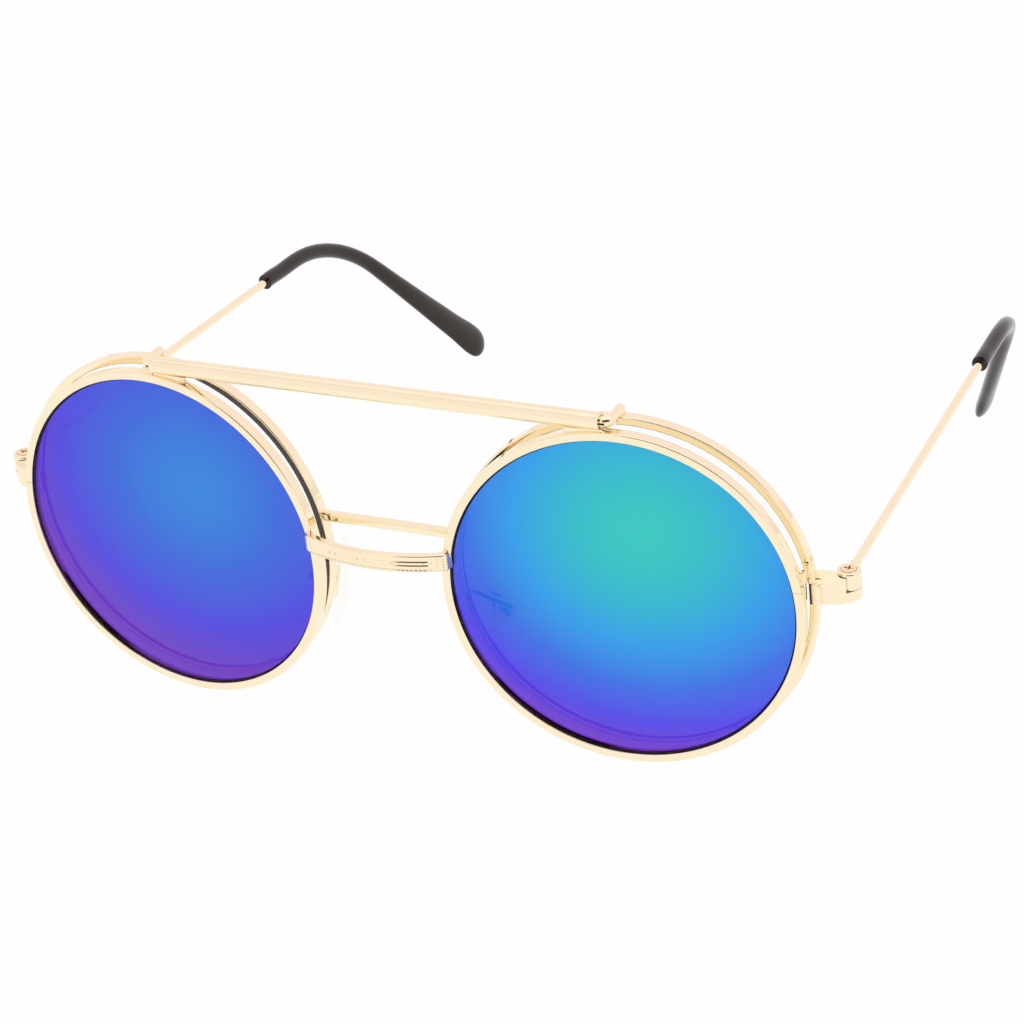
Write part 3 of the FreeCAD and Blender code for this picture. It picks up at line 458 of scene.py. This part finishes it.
def metal(name, main, second, polish, scale, softness=0.0):
    """Plated metal, with its edges softened where a radius is given."""
    group = finish_group("Plating", fine=12)
    material, shader = finished(name, group, main, second, polish, scale, relief=0.02)
    shader.inputs["Metallic"].default_value = 1
    if softness:
        tree = material.node_tree
        edges = fed(tree, "ShaderNodeBevel", {"Radius": softness}, samples=6)
        bump = shader.inputs["Normal"].links[0].from_node
        link(tree, edges.outputs["Normal"], bump.inputs["Normal"])
    return material


def moulded(name, main, second, polish, scale, relief=0.0, sockets=None):
    """Moulded plastic or glass, with plain values for some of the shader's own sockets."""
    group = finish_group("Moulding", fine=20)
    material, shader = finished(name, group, main, second, polish, scale, relief)
    for socket, value in (sockets or {}).items():
        shader.inputs[socket].default_value = value
    return material


def darker(colour, share):
    """Colour with a share of its light left."""
    return [part * share for part in colour]


def mirror_coating(name, lens, heart, sweep):
    """Mirror whose colour sweeps outward from its heart, partly a gradient coating and partly painted
    reflection colour laid on by place.
    """
    material, tree, shader = new_material(name)
    values = {"Heart": heart, "Base": sweep["base"], "Gain": sweep["gain"], "Reach": SWEEP_REACH}
    place = fed(tree, "ShaderNodeGroup", values, node_tree=sweep_group()).outputs["Sweep"]
    stops = (lens.heart, lens.sky, lens.blue, lens.deep, lens.violet, lens.edge)
    last = len(stops) - 1
    colour = ramp_node(tree, place, [(index / last, tuple(stop)) for index, stop in enumerate(stops)])
    tone = sweep["tone"]
    toned = mix_node(tree, 1, colour, (tone, tone, tone, 1), blend="MULTIPLY")
    link(tree, toned, shader.inputs["Base Color"])
    shader.inputs["Metallic"].default_value = 1
    shader.inputs["Roughness"].default_value = 0.03
    shader.inputs["Alpha"].default_value = lens.cover
    return material


def dress(node_names, material):
    """Give CAD nodes one material."""
    for name in node_names:
        mesh = frame["nodes"][name].data
        mesh.materials.clear()
        mesh.materials.append(material)


def nodes_starting(*starts):
    """Names of the CAD nodes that start in one of these ways, in order."""
    return [name for name in sorted(frame["nodes"]) if name.startswith(starts)]


# Metal

class SUNGLASSES_OT_metal(bpy.types.Operator):
    """Plate the rims, bridges, hinges and temples, and tone their screws"""
    bl_idname = "sunglasses.metal"
    bl_label = "Plate the Metal"

    def execute(self, context):
        gold = context.scene.sunglasses.gold
        metal("gold_plating", gold.colour, gold.warm, gold.roughness, scale=220.0)
        soft = metal("gold_soft", gold.colour, gold.warm, gold.roughness, scale=220.0, softness=gold.softness)
        screws = metal("screw_metal", gold.screw, gold.warm, polish=gold.roughness * 2, scale=600.0)
        other = nodes_starting("temple_tip", "front_lens", "rear_lens") + ["nose_pad_left", "nose_pad_right"]
        screw_nodes = [name for name in sorted(frame["nodes"]) if name.endswith("_screws")]
        dress([name for name in sorted(frame["nodes"]) if name not in other + screw_nodes], soft)
        dress(screw_nodes, screws)
        return {"FINISHED"}


# Lenses

def lens_frame(lens, sign, out=0.0, up=0.0, behind=0.0):
    """Matrix from a lens's own frame, with its axis along Y, to where the glasses stand."""
    mirror = Matrix.Scale(sign, 4, Vector((1, 0, 0)))
    place = Matrix.Translation((lens.half_spacing + out, 0, up)) @ Matrix.Rotation(lens.wrap, 4, "Z")
    return front_frame() @ mirror @ place @ Matrix.Translation((0, behind, 0))


def rear_frame(lens, sign):
    """Such a matrix for a rear lens."""
    return lens_frame(lens, sign, lens.rear_out, lens.rear_up, lens.rear_behind)


def around(radius, depth, turn):
    """Point at a turn round a lens's axis."""
    return Vector((radius * math.cos(turn), depth, radius * math.sin(turn)))


def lens_mesh(name, lens, aperture, place, materials):
    """Domed lens with a bevelled edge, and materials for its front, its other faces and its edge band of
    painted shade.
    """
    disc = aperture - lens.clearance
    bevel = lens.groove_half * (lens.groove_depth - lens.clearance) / lens.groove_depth
    ridge = aperture + lens.groove_depth - 2 * lens.clearance
    curve = lens.curve_radius
    front, back = lens.set_back - lens.thickness / 2, lens.set_back + lens.thickness / 2

    def dome(radius, edge):
        return radius, edge + math.sqrt(curve ** 2 - disc ** 2) - math.sqrt(curve ** 2 - radius ** 2)

    steps, innermost = 10, 0.03
    radii = [disc * max(step, innermost) / steps for step in range(steps)] + [disc - lens.edge_band, disc]
    profile = [dome(radius, front) for radius in radii]
    row_materials = [0] * (len(profile) - 2) + [2]
    profile += [(disc, lens.set_back - bevel), (ridge, lens.set_back), (disc, lens.set_back + bevel)]
    profile += [dome(radius, back) for radius in reversed(radii)]
    row_materials += [1] * (len(profile) - 1 - len(row_materials))
    count = 128
    turns = [2 * math.pi * index / count for index in range(count)]
    rings = [[around(radius, depth, turn) for turn in turns] for radius, depth in profile]
    return close_mesh(name, loft(rings, row_materials), place, materials, degrees=25)


class SUNGLASSES_OT_lenses(bpy.types.Operator):
    """Coat the front lenses and clear the rear ones"""
    bl_idname = "sunglasses.lenses"
    bl_label = "Finish the Lenses"

    def execute(self, context):
        lens = context.scene.sunglasses.lens
        smoke = moulded("smoke_side", lens.smoke, darker(lens.smoke, 0.8), polish=0.06, scale=150.0,
                        sockets={"Alpha": lens.smoke_cover, "Specular IOR Level": 0.25})
        # Dark edge band of painted shade, with little gloss.
        shade = moulded("lens_edge_painted_shade", lens.shade, darker(lens.shade, 0.7), polish=0.12, scale=150.0,
                        sockets={"Specular IOR Level": 0.1})
        glass = moulded("clear_glass", lens.glass, darker(lens.glass, 0.995), polish=0.005, scale=80.0,
                        sockets={"IOR": 1.1, "Transmission Weight": 1})
        for side, sign in SIDES.items():
            sweep = SWEEPS[side]
            low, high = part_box("front_lens_" + side)
            heart = (low + high) / 2 + Vector((sign * sweep["out"] * MM, 0, sweep["up"] * MM))
            coating = mirror_coating("mirror_" + side, lens, heart, sweep)
            name = "coated_lens_" + side
            mesh = lens_mesh(name, lens, lens.aperture, lens_frame(lens, sign), (coating, smoke, shade))
            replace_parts(new_piece(name, mesh, "flip_front"), "front_lens_" + side)
            name = "clear_lens_" + side
            mesh = lens_mesh(name, lens, lens.rear_aperture, rear_frame(lens, sign), (glass, glass, glass))
            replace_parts(new_piece(name, mesh, "chassis"), "rear_lens_" + side)
        return {"FINISHED"}


# Front rims

def rim_profile(rim, lens):
    """Outline of the rim's wire as (radius, depth), with short flats beside each rounded edge."""
    inner, outer = lens.aperture, lens.aperture + rim.width
    rest = 0.03 * MM
    points = []
    for radius, depth, rounding, first in (
            (inner, 0, rim.lip_radius, 180), (outer, 0, rim.edge_radius, 270),
            (outer, rim.depth, rim.edge_radius, 0), (inner, rim.depth, rim.lip_radius, 90)):
        across = radius + math.copysign(rounding, (inner + outer) / 2 - radius)
        behind = depth + math.copysign(rounding, rim.depth / 2 - depth)
        arc = []
        for step in range(CORNER_STEPS + 1):
            angle = math.radians(first + 90 * step / CORNER_STEPS)
            arc.append(Vector((across + rounding * math.cos(angle), behind + rounding * math.sin(angle))))
        start, end = math.radians(first), math.radians(first + 90)
        points.append(arc[0] + rest * Vector((math.sin(start), -math.cos(start))))
        points.extend(arc)
        points.append(arc[-1] + rest * Vector((-math.sin(end), math.cos(end))))
    points.extend(Vector((inner + depth, lens.set_back + behind)) for depth, behind in (
        (0, lens.groove_half), (lens.groove_depth, 0), (0, -lens.groove_half)))
    return points


def rim_mesh(name, rim, lens, place, gold):
    """Wire run round the lens from one side of the saw cut to the other."""
    profile = rim_profile(rim, lens)
    middle = lens.aperture + rim.width / 2
    above, below = rim.cut_height + rim.cut / 2, rim.cut_height - rim.cut / 2
    lead = math.radians(1)
    start = math.asin(above / middle) + lead
    end = 2 * math.pi + math.asin(below / middle) - lead
    count = 180
    turns = [start + (end - start) * step / count for step in range(count + 1)]
    rings = [[around(*point, math.asin(above / point.x)) for point in profile]]
    rings += [[around(*point, turn) for point in profile] for turn in turns]
    rings += [[around(*point, 2 * math.pi + math.asin(below / point.x)) for point in profile]]
    return close_mesh(name, loft(rings), place, (gold,), degrees=30)


class SUNGLASSES_OT_rims(bpy.types.Operator):
    """Run the front rims' wire round the coated lenses"""
    bl_idname = "sunglasses.rims"
    bl_label = "Run the Front Rims"

    def execute(self, context):
        settings = context.scene.sunglasses
        gold = bpy.data.materials["gold_plating"]
        for side, sign in SIDES.items():
            name = "rim_wire_" + side
            mesh = rim_mesh(name, settings.rim, settings.lens, lens_frame(settings.lens, sign), gold)
            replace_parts(new_piece(name, mesh, "flip_front"), "front_rim_" + side)
        return {"FINISHED"}


# Slots, filled with painted shade

def slot_shade_mesh(name, place, dark):
    """Dark box of painted shade that fills the slot between a rear rim and the rib of its end piece."""
    inner, outer = 24.82, 25.2
    front, back = 0.15, 0.69
    low, high = -0.2, 3.0
    corners = ((inner, front), (outer, front), (outer, back), (inner, back))
    rings = [[Vector((out, behind, up)) * MM for out, behind in corners] for up in (low, high)]
    return close_mesh(name, loft(rings), place, (dark,), degrees=30)


class SUNGLASSES_OT_slot_shade(bpy.types.Operator):
    """Fill the slots beside the end ribs with dark boxes of painted shade"""
    bl_idname = "sunglasses.slots"
    bl_label = "Line the Slots"

    def execute(self, context):
        settings = context.scene.sunglasses
        tone = settings.gold.slot
        # Dark material of painted shade, standing for the shade deep in each slot.
        dark = moulded("slot_painted_shade", tone, darker(tone, 0.7), polish=0.4, scale=300.0)
        for side, sign in SIDES.items():
            name = "shade_filled_slot_" + side
            mesh = slot_shade_mesh(name, rear_frame(settings.lens, sign), dark)
            new_piece(name, mesh, "chassis")
        return {"FINISHED"}


# Bridge

def strap_place(bridge, turn):
    """Point and outward normal of the strap's centre line where the normal has turned by an angle."""
    along = min(abs(turn), bridge.arc_end)
    outward = Vector((math.sin(along), -math.cos(along), 0))
    place = Vector((0, bridge.arc_centre, 0)) + outward * bridge.arc_radius
    if abs(turn) > bridge.arc_end:
        corner = place - outward * bridge.corner_radius
        outward = Vector((math.sin(abs(turn)), -math.cos(turn), 0))
        place = corner + outward * bridge.corner_radius
    if turn < 0:
        place.x, outward.x = -place.x, -outward.x
    return place + Vector((0, 0, bridge.level)), outward


def strap_section(bridge, share):
    """Strap's outline as (outward, up), engraved to a share of the full depth."""
    face = bridge.thickness / 2
    top = bridge.height / 2
    radius = bridge.edge_radius
    depth = bridge.groove_depth * share
    floor_low, floor_high = 0.1, 0.4
    points = []

    def corner(out, up, first):
        for step in range(CORNER_STEPS + 1):
            angle = first + math.radians(90 / CORNER_STEPS) * step
            points.append((out + radius * math.cos(angle), up + radius * math.sin(angle)))

    def groove(up, half):
        points.extend([(face, up - half), (face - depth, up + half * floor_low),
                       (face - depth, up + half * floor_high), (face, up + half)])

    corner(face - radius, -top + radius, -math.pi / 2)
    for up, half in GROOVES:
        groove(up * MM, half * MM)
    corner(face - radius, top - radius, 0)
    corner(-face + radius, top - radius, math.pi / 2)
    corner(-face + radius, -top + radius, math.pi)
    return points


def strap_mesh(bridge, matrix, gold):
    """Strap swept from one rim over the nose gap to the other."""
    turns = []
    for start, end, steps in ((0, bridge.arc_end, 40), (bridge.arc_end, bridge.corner_end, 14)):
        turns.extend(start + (end - start) * step / steps for step in range(1, steps + 1))
    turns = [-turn for turn in reversed(turns)] + [0.0] + turns
    stations = [(turns[0], bridge.leg), *((turn, 0.0) for turn in turns), (turns[-1], bridge.leg)]
    run_out = math.radians(2)
    rings = []
    for turn, leg in stations:
        place, outward = strap_place(bridge, turn)
        along = Vector((-outward.y, outward.x, 0)) * (1 if turn > 0 else -1)
        fade = min(1, max(0, (bridge.arc_end - run_out - abs(turn)) / run_out))
        section = strap_section(bridge, fade)
        rings.append([place + along * leg + outward * out + Vector((0, 0, up)) for out, up in section])
    return close_mesh("bridge_strap", loft(rings), matrix, (gold,), degrees=20)


def beading_tree():
    """Beads of one size set at a pitch along the chains of edges that come in."""
    name = "Beading"
    if name in bpy.data.node_groups:
        return bpy.data.node_groups[name]
    tree = bpy.data.node_groups.new(name, "GeometryNodeTree")
    for socket_name, kind in (("Chains", "NodeSocketGeometry"), ("Pitch", "NodeSocketFloat"),
                              ("Size", "NodeSocketVector"), ("Tilt", "NodeSocketFloat"),
                              ("Material", "NodeSocketMaterial")):
        tree.interface.new_socket(socket_name, in_out="INPUT", socket_type=kind)
    tree.interface.new_socket("Beads", in_out="OUTPUT", socket_type="NodeSocketGeometry")
    entry = add(tree, "NodeGroupInput").outputs
    curve = fed(tree, "GeometryNodeMeshToCurve", {"Mesh": entry["Chains"]}).outputs["Curve"]
    spaced = fed(tree, "GeometryNodeResampleCurve", {"Curve": curve, "Length": entry["Pitch"]}, mode="LENGTH")
    bead = fed(tree, "GeometryNodeMeshUVSphere", {"Segments": 10, "Rings": 6, "Radius": 0.5})
    tangent = add(tree, "GeometryNodeInputTangent").outputs["Tangent"]
    follow = fed(tree, "FunctionNodeAlignRotationToVector", {"Vector": tangent}, axis="X")
    lean = fed(tree, "FunctionNodeAxisAngleToRotation", {"Axis": (0, 1, 0), "Angle": entry["Tilt"]})
    turns = {"Rotation": follow.outputs["Rotation"], "Rotate By": lean.outputs["Rotation"]}
    leaning = fed(tree, "FunctionNodeRotateRotation", turns, rotation_space="LOCAL")
    beads = fed(tree, "GeometryNodeInstanceOnPoints", {
        "Points": spaced.outputs["Curve"], "Instance": bead.outputs["Mesh"],
        "Rotation": leaning.outputs["Rotation"], "Scale": entry["Size"]})
    real = fed(tree, "GeometryNodeRealizeInstances", {"Geometry": beads.outputs["Instances"]})
    shaded = fed(tree, "GeometryNodeSetShadeSmooth", {"Geometry": real.outputs["Geometry"]})
    finish = {"Geometry": shaded.outputs["Geometry"], "Material": entry["Material"]}
    coated = fed(tree, "GeometryNodeSetMaterial", finish)
    fed(tree, "NodeGroupOutput", {"Beads": coated.outputs["Geometry"]})
    return tree


def beading(name, chains, matrix, pitch, size, tilt, material):
    """Plain mesh of the beads along chains of points."""
    guide = bpy.data.meshes.new(name + "_guide")
    points, edges = [], []
    for chain in chains:
        first = len(points)
        points.extend(matrix @ point for point in chain)
        edges.extend((index, index + 1) for index in range(first, len(points) - 1))
    guide.from_pydata(points, edges, [])
    holder = bpy.data.objects.new(name + "_holder", guide)
    bpy.context.scene.collection.objects.link(holder)
    tree = beading_tree()
    modifier = holder.modifiers.new("beading", "NODES")
    modifier.node_group = tree
    values = {"Pitch": pitch, "Size": size, "Tilt": tilt, "Material": material}
    for item in tree.interface.items_tree:
        if item.in_out == "INPUT" and item.name in values:
            modifier[item.identifier] = values[item.name]
    made = holder.evaluated_get(bpy.context.evaluated_depsgraph_get())
    mesh = bpy.data.meshes.new_from_object(made)
    mesh.name = name
    bpy.data.objects.remove(holder)
    if not mesh.polygons:
        raise RuntimeError(name + " came out empty")
    return mesh


def face_chain(bridge, start, end, up, proud, steps=40):
    """Points along the strap's front between two turns, at a level and a height over its face."""
    chain = []
    for step in range(steps + 1):
        place, outward = strap_place(bridge, start + (end - start) * step / steps)
        chain.append(place + outward * (bridge.thickness / 2 + proud) + Vector((0, 0, up)))
    return chain


class SUNGLASSES_OT_bridge(bpy.types.Operator):
    """Build the engraved strap of the front bridge with its beads and hatched marks, the marks darkened with
    painted shade
    """
    bl_idname = "sunglasses.bridge"
    bl_label = "Build the Bridge"

    def execute(self, context):
        bridge = context.scene.sunglasses.bridge
        tones = context.scene.sunglasses.gold
        matrix = front_frame()
        gold = bpy.data.materials["gold_plating"]
        # The hatched strokes get a darker gold of painted shade.
        stroke_shade = metal("strokes_painted_shade", tones.stroke_shade, tones.warm, polish=0.2, scale=900.0)
        strap = new_piece("bridge_strap", strap_mesh(bridge, matrix, gold), "flip_front")
        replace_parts(strap, "front_bridge")

        def ornament(name, chains, pitch, size, tilt=0.0, material=gold):
            mesh = beading(name, chains, matrix, pitch, size, tilt, material)
            new_piece(name, mesh, "flip_front")

        margin, stretch = math.radians(3), 1.45
        row_end = bridge.arc_end - margin
        lower = [face_chain(bridge, -row_end, row_end, up=BEAD_LEVEL * MM, proud=-0.11 * MM)]
        long_bead = (bridge.bead * stretch, bridge.bead, bridge.bead)
        ornament("bridge_lower_beads", lower, bridge.bead_pitch, long_bead)

        column_turns, column_ends = (21.4, 36.0, 66.0), (-0.98 * MM, 0.72 * MM)
        column_sunk, column_pitch = 0.05 * MM, 0.42 * MM
        columns = []
        for sign in SIDES.values():
            for turn in column_turns:
                place, outward = strap_place(bridge, sign * math.radians(turn))
                at = place + outward * (bridge.thickness / 2 - column_sunk)
                columns.append([at + Vector((0, 0, up)) for up in column_ends])
        ornament("bridge_end_beads", columns, column_pitch, (bridge.bead,) * 3)

        hatch_turns, hatch_half = (-12.3, -2.3, 8.9, 18.6), 1.1
        hatches = []
        for middle in hatch_turns:
            start, end = math.radians(middle - hatch_half), math.radians(middle + hatch_half)
            hatches.append(face_chain(bridge, start, end, up=0.13 * MM, proud=-0.03 * MM, steps=6))
        stroke = (0.52 * MM, 0.14 * MM, 0.12 * MM)
        ornament("bridge_hatch", hatches, pitch=0.9 * MM, size=stroke, tilt=math.radians(38), material=stroke_shade)
        return {"FINISHED"}


# Solder

def solder_mesh(name, sign, matrix, gold):
    """Fillet of solder between the tube and the top of a rim, running out past the tube's end."""
    rim_r, lens_x, tube_r = 25.7, 35.2, 1.25
    behind, lean = 0.98, 0.0488
    sunk, bite = 0.12, 0.05
    tube_waist, free_waist, waist_level, top_share = 0.72, 0.8, 0.45, 0.7
    # Place across, half width and, past the tube's end, height over the rim, all in millimetres.
    stations = ((28.9, 0.12, None), (29.8, 0.3, None), (31.0, 0.48, None), (32.4, 0.6, None),
                (33.6, 0.66, None), (34.15, 0.66, None), (34.22, 0.64, 0.62), (34.45, 0.58, 0.36),
                (34.9, 0.5, 0.18), (35.5, 0.38, 0.08), (36.4, 0.2, 0.02))
    rings = []
    for x, half, cap in stations:
        middle = behind + (x - lens_x) * lean
        base = math.sqrt(rim_r ** 2 - (x - lens_x) ** 2)
        foot = base - sunk
        if cap is None:
            top, waist = TUBE_AXIS.z - math.sqrt(tube_r ** 2 - half ** 2) + bite, tube_waist
        else:
            top, waist = base + cap, free_waist
        level = base + (top - base) * waist_level
        ring = [(-half, foot), (half, foot), (half * waist, level), (half * top_share, top),
                (-half * top_share, top), (-half * waist, level)]
        rings.append([Vector((sign * x, middle + out, up)) * MM for out, up in ring])
    return close_mesh(name, loft(rings), matrix, (gold,), degrees=80)


class SUNGLASSES_OT_solder(bpy.types.Operator):
    """Lay the solder fillets that hold the brow tube on the front rims"""
    bl_idname = "sunglasses.solder"
    bl_label = "Lay the Solder"

    def execute(self, context):
        gold = bpy.data.materials["gold_plating"]
        for side, sign in SIDES.items():
            name = "tube_solder_" + side
            new_piece(name, solder_mesh(name, sign, front_frame(), gold), "flip_front")
        return {"FINISHED"}


# Plastics

class SUNGLASSES_OT_tips(bpy.types.Operator):
    """Finish the temple tips in dark gloss"""
    bl_idname = "sunglasses.tips"
    bl_label = "Finish the Temple Tips"

    def execute(self, context):
        plastic = context.scene.sunglasses.plastic
        tip = moulded("tip_plastic", plastic.tip, plastic.tip_cloud, polish=0.13, scale=180.0, relief=0.03,
                      sockets={"Specular IOR Level": 0.42})
        dress(nodes_starting("temple_tip"), tip)
        return {"FINISHED"}


def egg_point(pad, turn):
    """Point of the pad's outline at a turn from its outer side, as (across, up)."""
    high = pad.length / 2 - pad.top_radius
    low = pad.bottom_radius - pad.length / 2
    lean = math.asin((pad.bottom_radius - pad.top_radius) / (high - low))
    upper = math.sin(turn) >= math.sin(lean)
    radius, centre = (pad.top_radius, high) if upper else (pad.bottom_radius, low)
    return radius * math.cos(turn), centre + radius * math.sin(turn)


def pad_mesh(name, pad, sign, matrix, silicone):
    """Crowned egg: a flatter back, a full face and rounded sides."""
    count = 72
    half = pad.thickness / 2
    outline = [egg_point(pad, 2 * math.pi * index / count) for index in range(count)]
    mirror = Matrix.Scale(sign, 4, Vector((1, 0, 0)))
    turn = Matrix.Rotation(pad.splay, 4, "Z") @ Matrix.Rotation(-pad.tilt, 4, "X")
    place = mirror @ Matrix.Translation((pad.out, pad.behind, -pad.below)) @ turn
    levels = [0.06, 0.3, 0.55, 0.75, 0.88, 0.95, 0.985, 1.0]
    flat_back, full_face = 9, 3.2
    rows = [(share, -half * (1 - share ** flat_back) ** 0.5) for share in levels]
    rows += [(share, half * (1 - share ** full_face) ** 0.5) for share in reversed(levels[:-1])]
    rings = [[Vector((share * across, pad.back + half + depth, share * up)) for across, up in outline]
             for share, depth in rows]
    return close_mesh(name, loft(rings), matrix @ place, (silicone,), degrees=60)


class SUNGLASSES_OT_pads(bpy.types.Operator):
    """Mould the clear nose pads"""
    bl_idname = "sunglasses.pads"
    bl_label = "Mould the Nose Pads"

    def execute(self, context):
        settings = context.scene.sunglasses
        plastic = settings.plastic
        silicone = moulded("pad_silicone", plastic.pad, plastic.pad_cloud, polish=0.05, scale=300.0,
                           relief=0.02, sockets={"IOR": 1.04, "Transmission Weight": 1})
        for side, sign in SIDES.items():
            name = "soft_pad_" + side
            body = "nose_pad_" + side
            mesh = pad_mesh(name, settings.pad, sign, front_frame(), silicone)
            pad = new_piece(name, mesh, body)
            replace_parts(pad, body)
        return {"FINISHED"}


# Studio

def background_rays(tree):
    """1 for camera, glossy and transmission rays, else 0."""
    path = add(tree, "ShaderNodeLightPath")
    seen = math_node(tree, "MAXIMUM", path.outputs["Is Camera Ray"], path.outputs["Is Glossy Ray"])
    return math_node(tree, "MAXIMUM", seen, path.outputs["Is Transmission Ray"])


def camera_direction(studio):
    """From the aim point to the camera."""
    level = math.cos(studio.elevation)
    return Vector((math.sin(studio.azimuth) * level, -math.cos(studio.azimuth) * level,
                   math.sin(studio.elevation)))


def make_world(studio):
    """Pale tent with a dark opening over a sill at the camera, and a softer light for matt surfaces."""
    world = bpy.data.worlds.new("tent")
    bpy.context.scene.world = world
    world.use_nodes = True
    tree = world.node_tree
    tree.nodes.clear()
    direction = add(tree, "ShaderNodeTexCoord").outputs["Generated"]
    facing = vector_node(tree, "DOT_PRODUCT", direction, camera_direction(studio))
    wide, narrow = studio.port * (1 + PORT_BLUR), studio.port * (1 - PORT_BLUR)
    port = soft_step(tree, facing, math.cos(wide), math.cos(narrow))
    height = fed(tree, "ShaderNodeSeparateXYZ", {"Vector": direction}).outputs["Z"]
    low, high = studio.sill - SILL_BLUR, studio.sill + SILL_BLUR
    sill = soft_step(tree, height, math.sin(low), math.sin(high))
    cloth = ramp_node(tree, height, TENT_CLOTH)
    inside = mix_node(tree, math_node(tree, "MULTIPLY", port, sill), cloth, (*studio.opening, 1))
    path = add(tree, "ShaderNodeLightPath")
    seen = math_node(tree, "MAXIMUM", path.outputs["Is Camera Ray"], path.outputs["Is Transmission Ray"])
    tent = fed(tree, "ShaderNodeBackground", {"Color": mix_node(tree, seen, inside, WHITE)})
    soft = fed(tree, "ShaderNodeBackground", {"Color": WHITE, "Strength": studio.ambient})
    mix = add(tree, "ShaderNodeMixShader")
    fill(tree, mix.inputs, (background_rays(tree), soft.outputs[0], tent.outputs[0]))
    fed(tree, "ShaderNodeOutputWorld", {"Surface": mix.outputs[0]})


def make_floor(studio):
    """Pale paper that stays near white and keeps a faint shadow."""
    mesh = bpy.data.meshes.new("floor")
    half, drop = 3.0, 0.05 * MM
    corners = [(-half, -half, 0), (half, -half, 0), (half, half, 0), (-half, half, 0)]
    mesh.from_pydata(corners, [], [(0, 1, 2, 3)])
    floor = bpy.data.objects.new("floor", mesh)
    bpy.context.scene.collection.objects.link(floor)
    floor.location.z = -drop
    material, tree, shader = new_material("paper")
    shader.inputs["Base Color"].default_value = (*studio.floor, 1)
    shader.inputs["Roughness"].default_value = 0.9
    shader.inputs["Specular IOR Level"].default_value = 0
    glow = add(tree, "ShaderNodeEmission")
    mix = add(tree, "ShaderNodeMixShader")
    white = math_node(tree, "MULTIPLY", background_rays(tree), studio.paper_white)
    fill(tree, mix.inputs, (white, shader.outputs[0], glow.outputs[0]))
    link(tree, mix.outputs[0], tree.nodes["Material Output"].inputs["Surface"])
    mesh.materials.append(material)


def make_lamp(name, place, size, power):
    """Soft rectangular lamp that faces the glasses and is hidden from the camera."""
    data = bpy.data.lights.new(name, "AREA")
    data.shape = "RECTANGLE"
    data.size, data.size_y = size
    data.energy = power
    lamp = bpy.data.objects.new(name, data)
    lamp.location = place
    lamp.rotation_euler = (-Vector(place)).to_track_quat("-Z", "Y").to_euler()
    lamp.visible_camera = False
    bpy.context.scene.collection.objects.link(lamp)


def make_camera(studio):
    """Camera at the studio's angles and distance, aimed and rolled."""
    data = bpy.data.cameras.new("camera")
    data.lens = studio.focal
    data.sensor_width = 36
    camera = bpy.data.objects.new("camera", data)
    bpy.context.scene.collection.objects.link(camera)
    back = camera_direction(studio)
    camera.location = Vector(studio.aim) + back * studio.distance
    turn = (-back).to_track_quat("-Z", "Y").to_matrix() @ Matrix.Rotation(studio.roll, 3, "Z")
    camera.rotation_euler = turn.to_euler()
    bpy.context.scene.camera = camera


class SUNGLASSES_OT_studio(bpy.types.Operator):
    """Lay the floor, light the tent and set the camera"""
    bl_idname = "sunglasses.studio"
    bl_label = "Set Up the Studio"

    def execute(self, context):
        studio = context.scene.sunglasses.studio
        context.scene.view_settings.view_transform = "Standard"
        make_world(studio)
        make_floor(studio)
        make_lamp("overhead", place=(0.1, -0.1, 0.7), size=(0.6, 0.6), power=0.15)
        make_camera(studio)
        return {"FINISHED"}


OPERATORS = (SUNGLASSES_OT_metal, SUNGLASSES_OT_lenses, SUNGLASSES_OT_rims, SUNGLASSES_OT_slot_shade,
             SUNGLASSES_OT_bridge, SUNGLASSES_OT_solder, SUNGLASSES_OT_tips, SUNGLASSES_OT_pads,
             SUNGLASSES_OT_studio)


class SUNGLASSES_PT_panel(bpy.types.Panel):
    """List of the operators"""
    bl_idname = "SUNGLASSES_PT_panel"
    bl_label = "Sunglasses"
    bl_space_type = "VIEW_3D"
    bl_region_type = "UI"
    bl_category = "Sunglasses"

    def draw(self, context):
        for operator in OPERATORS:
            self.layout.operator(operator.bl_idname)


CLASSES = (GoldSettings, LensSettings, RimSettings, BridgeSettings, PlasticSettings, PadSettings,
           StudioSettings, SunglassesSettings, *OPERATORS, SUNGLASSES_PT_panel)


def register():
    """Register the classes and hang the settings on the scene."""
    for item in CLASSES:
        bpy.utils.register_class(item)
    bpy.types.Scene.sunglasses = PointerProperty(type=SunglassesSettings)


def unregister():
    """Take both away again."""
    del bpy.types.Scene.sunglasses
    for item in reversed(CLASSES):
        bpy.utils.unregister_class(item)


def main():
    """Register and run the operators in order."""
    register()
    bpy.ops.sunglasses.metal()
    bpy.ops.sunglasses.lenses()
    bpy.ops.sunglasses.rims()
    bpy.ops.sunglasses.slots()
    bpy.ops.sunglasses.bridge()
    bpy.ops.sunglasses.solder()
    bpy.ops.sunglasses.tips()
    bpy.ops.sunglasses.pads()
    bpy.ops.sunglasses.studio()
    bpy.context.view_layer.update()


if __name__ == "__main__":
    main()
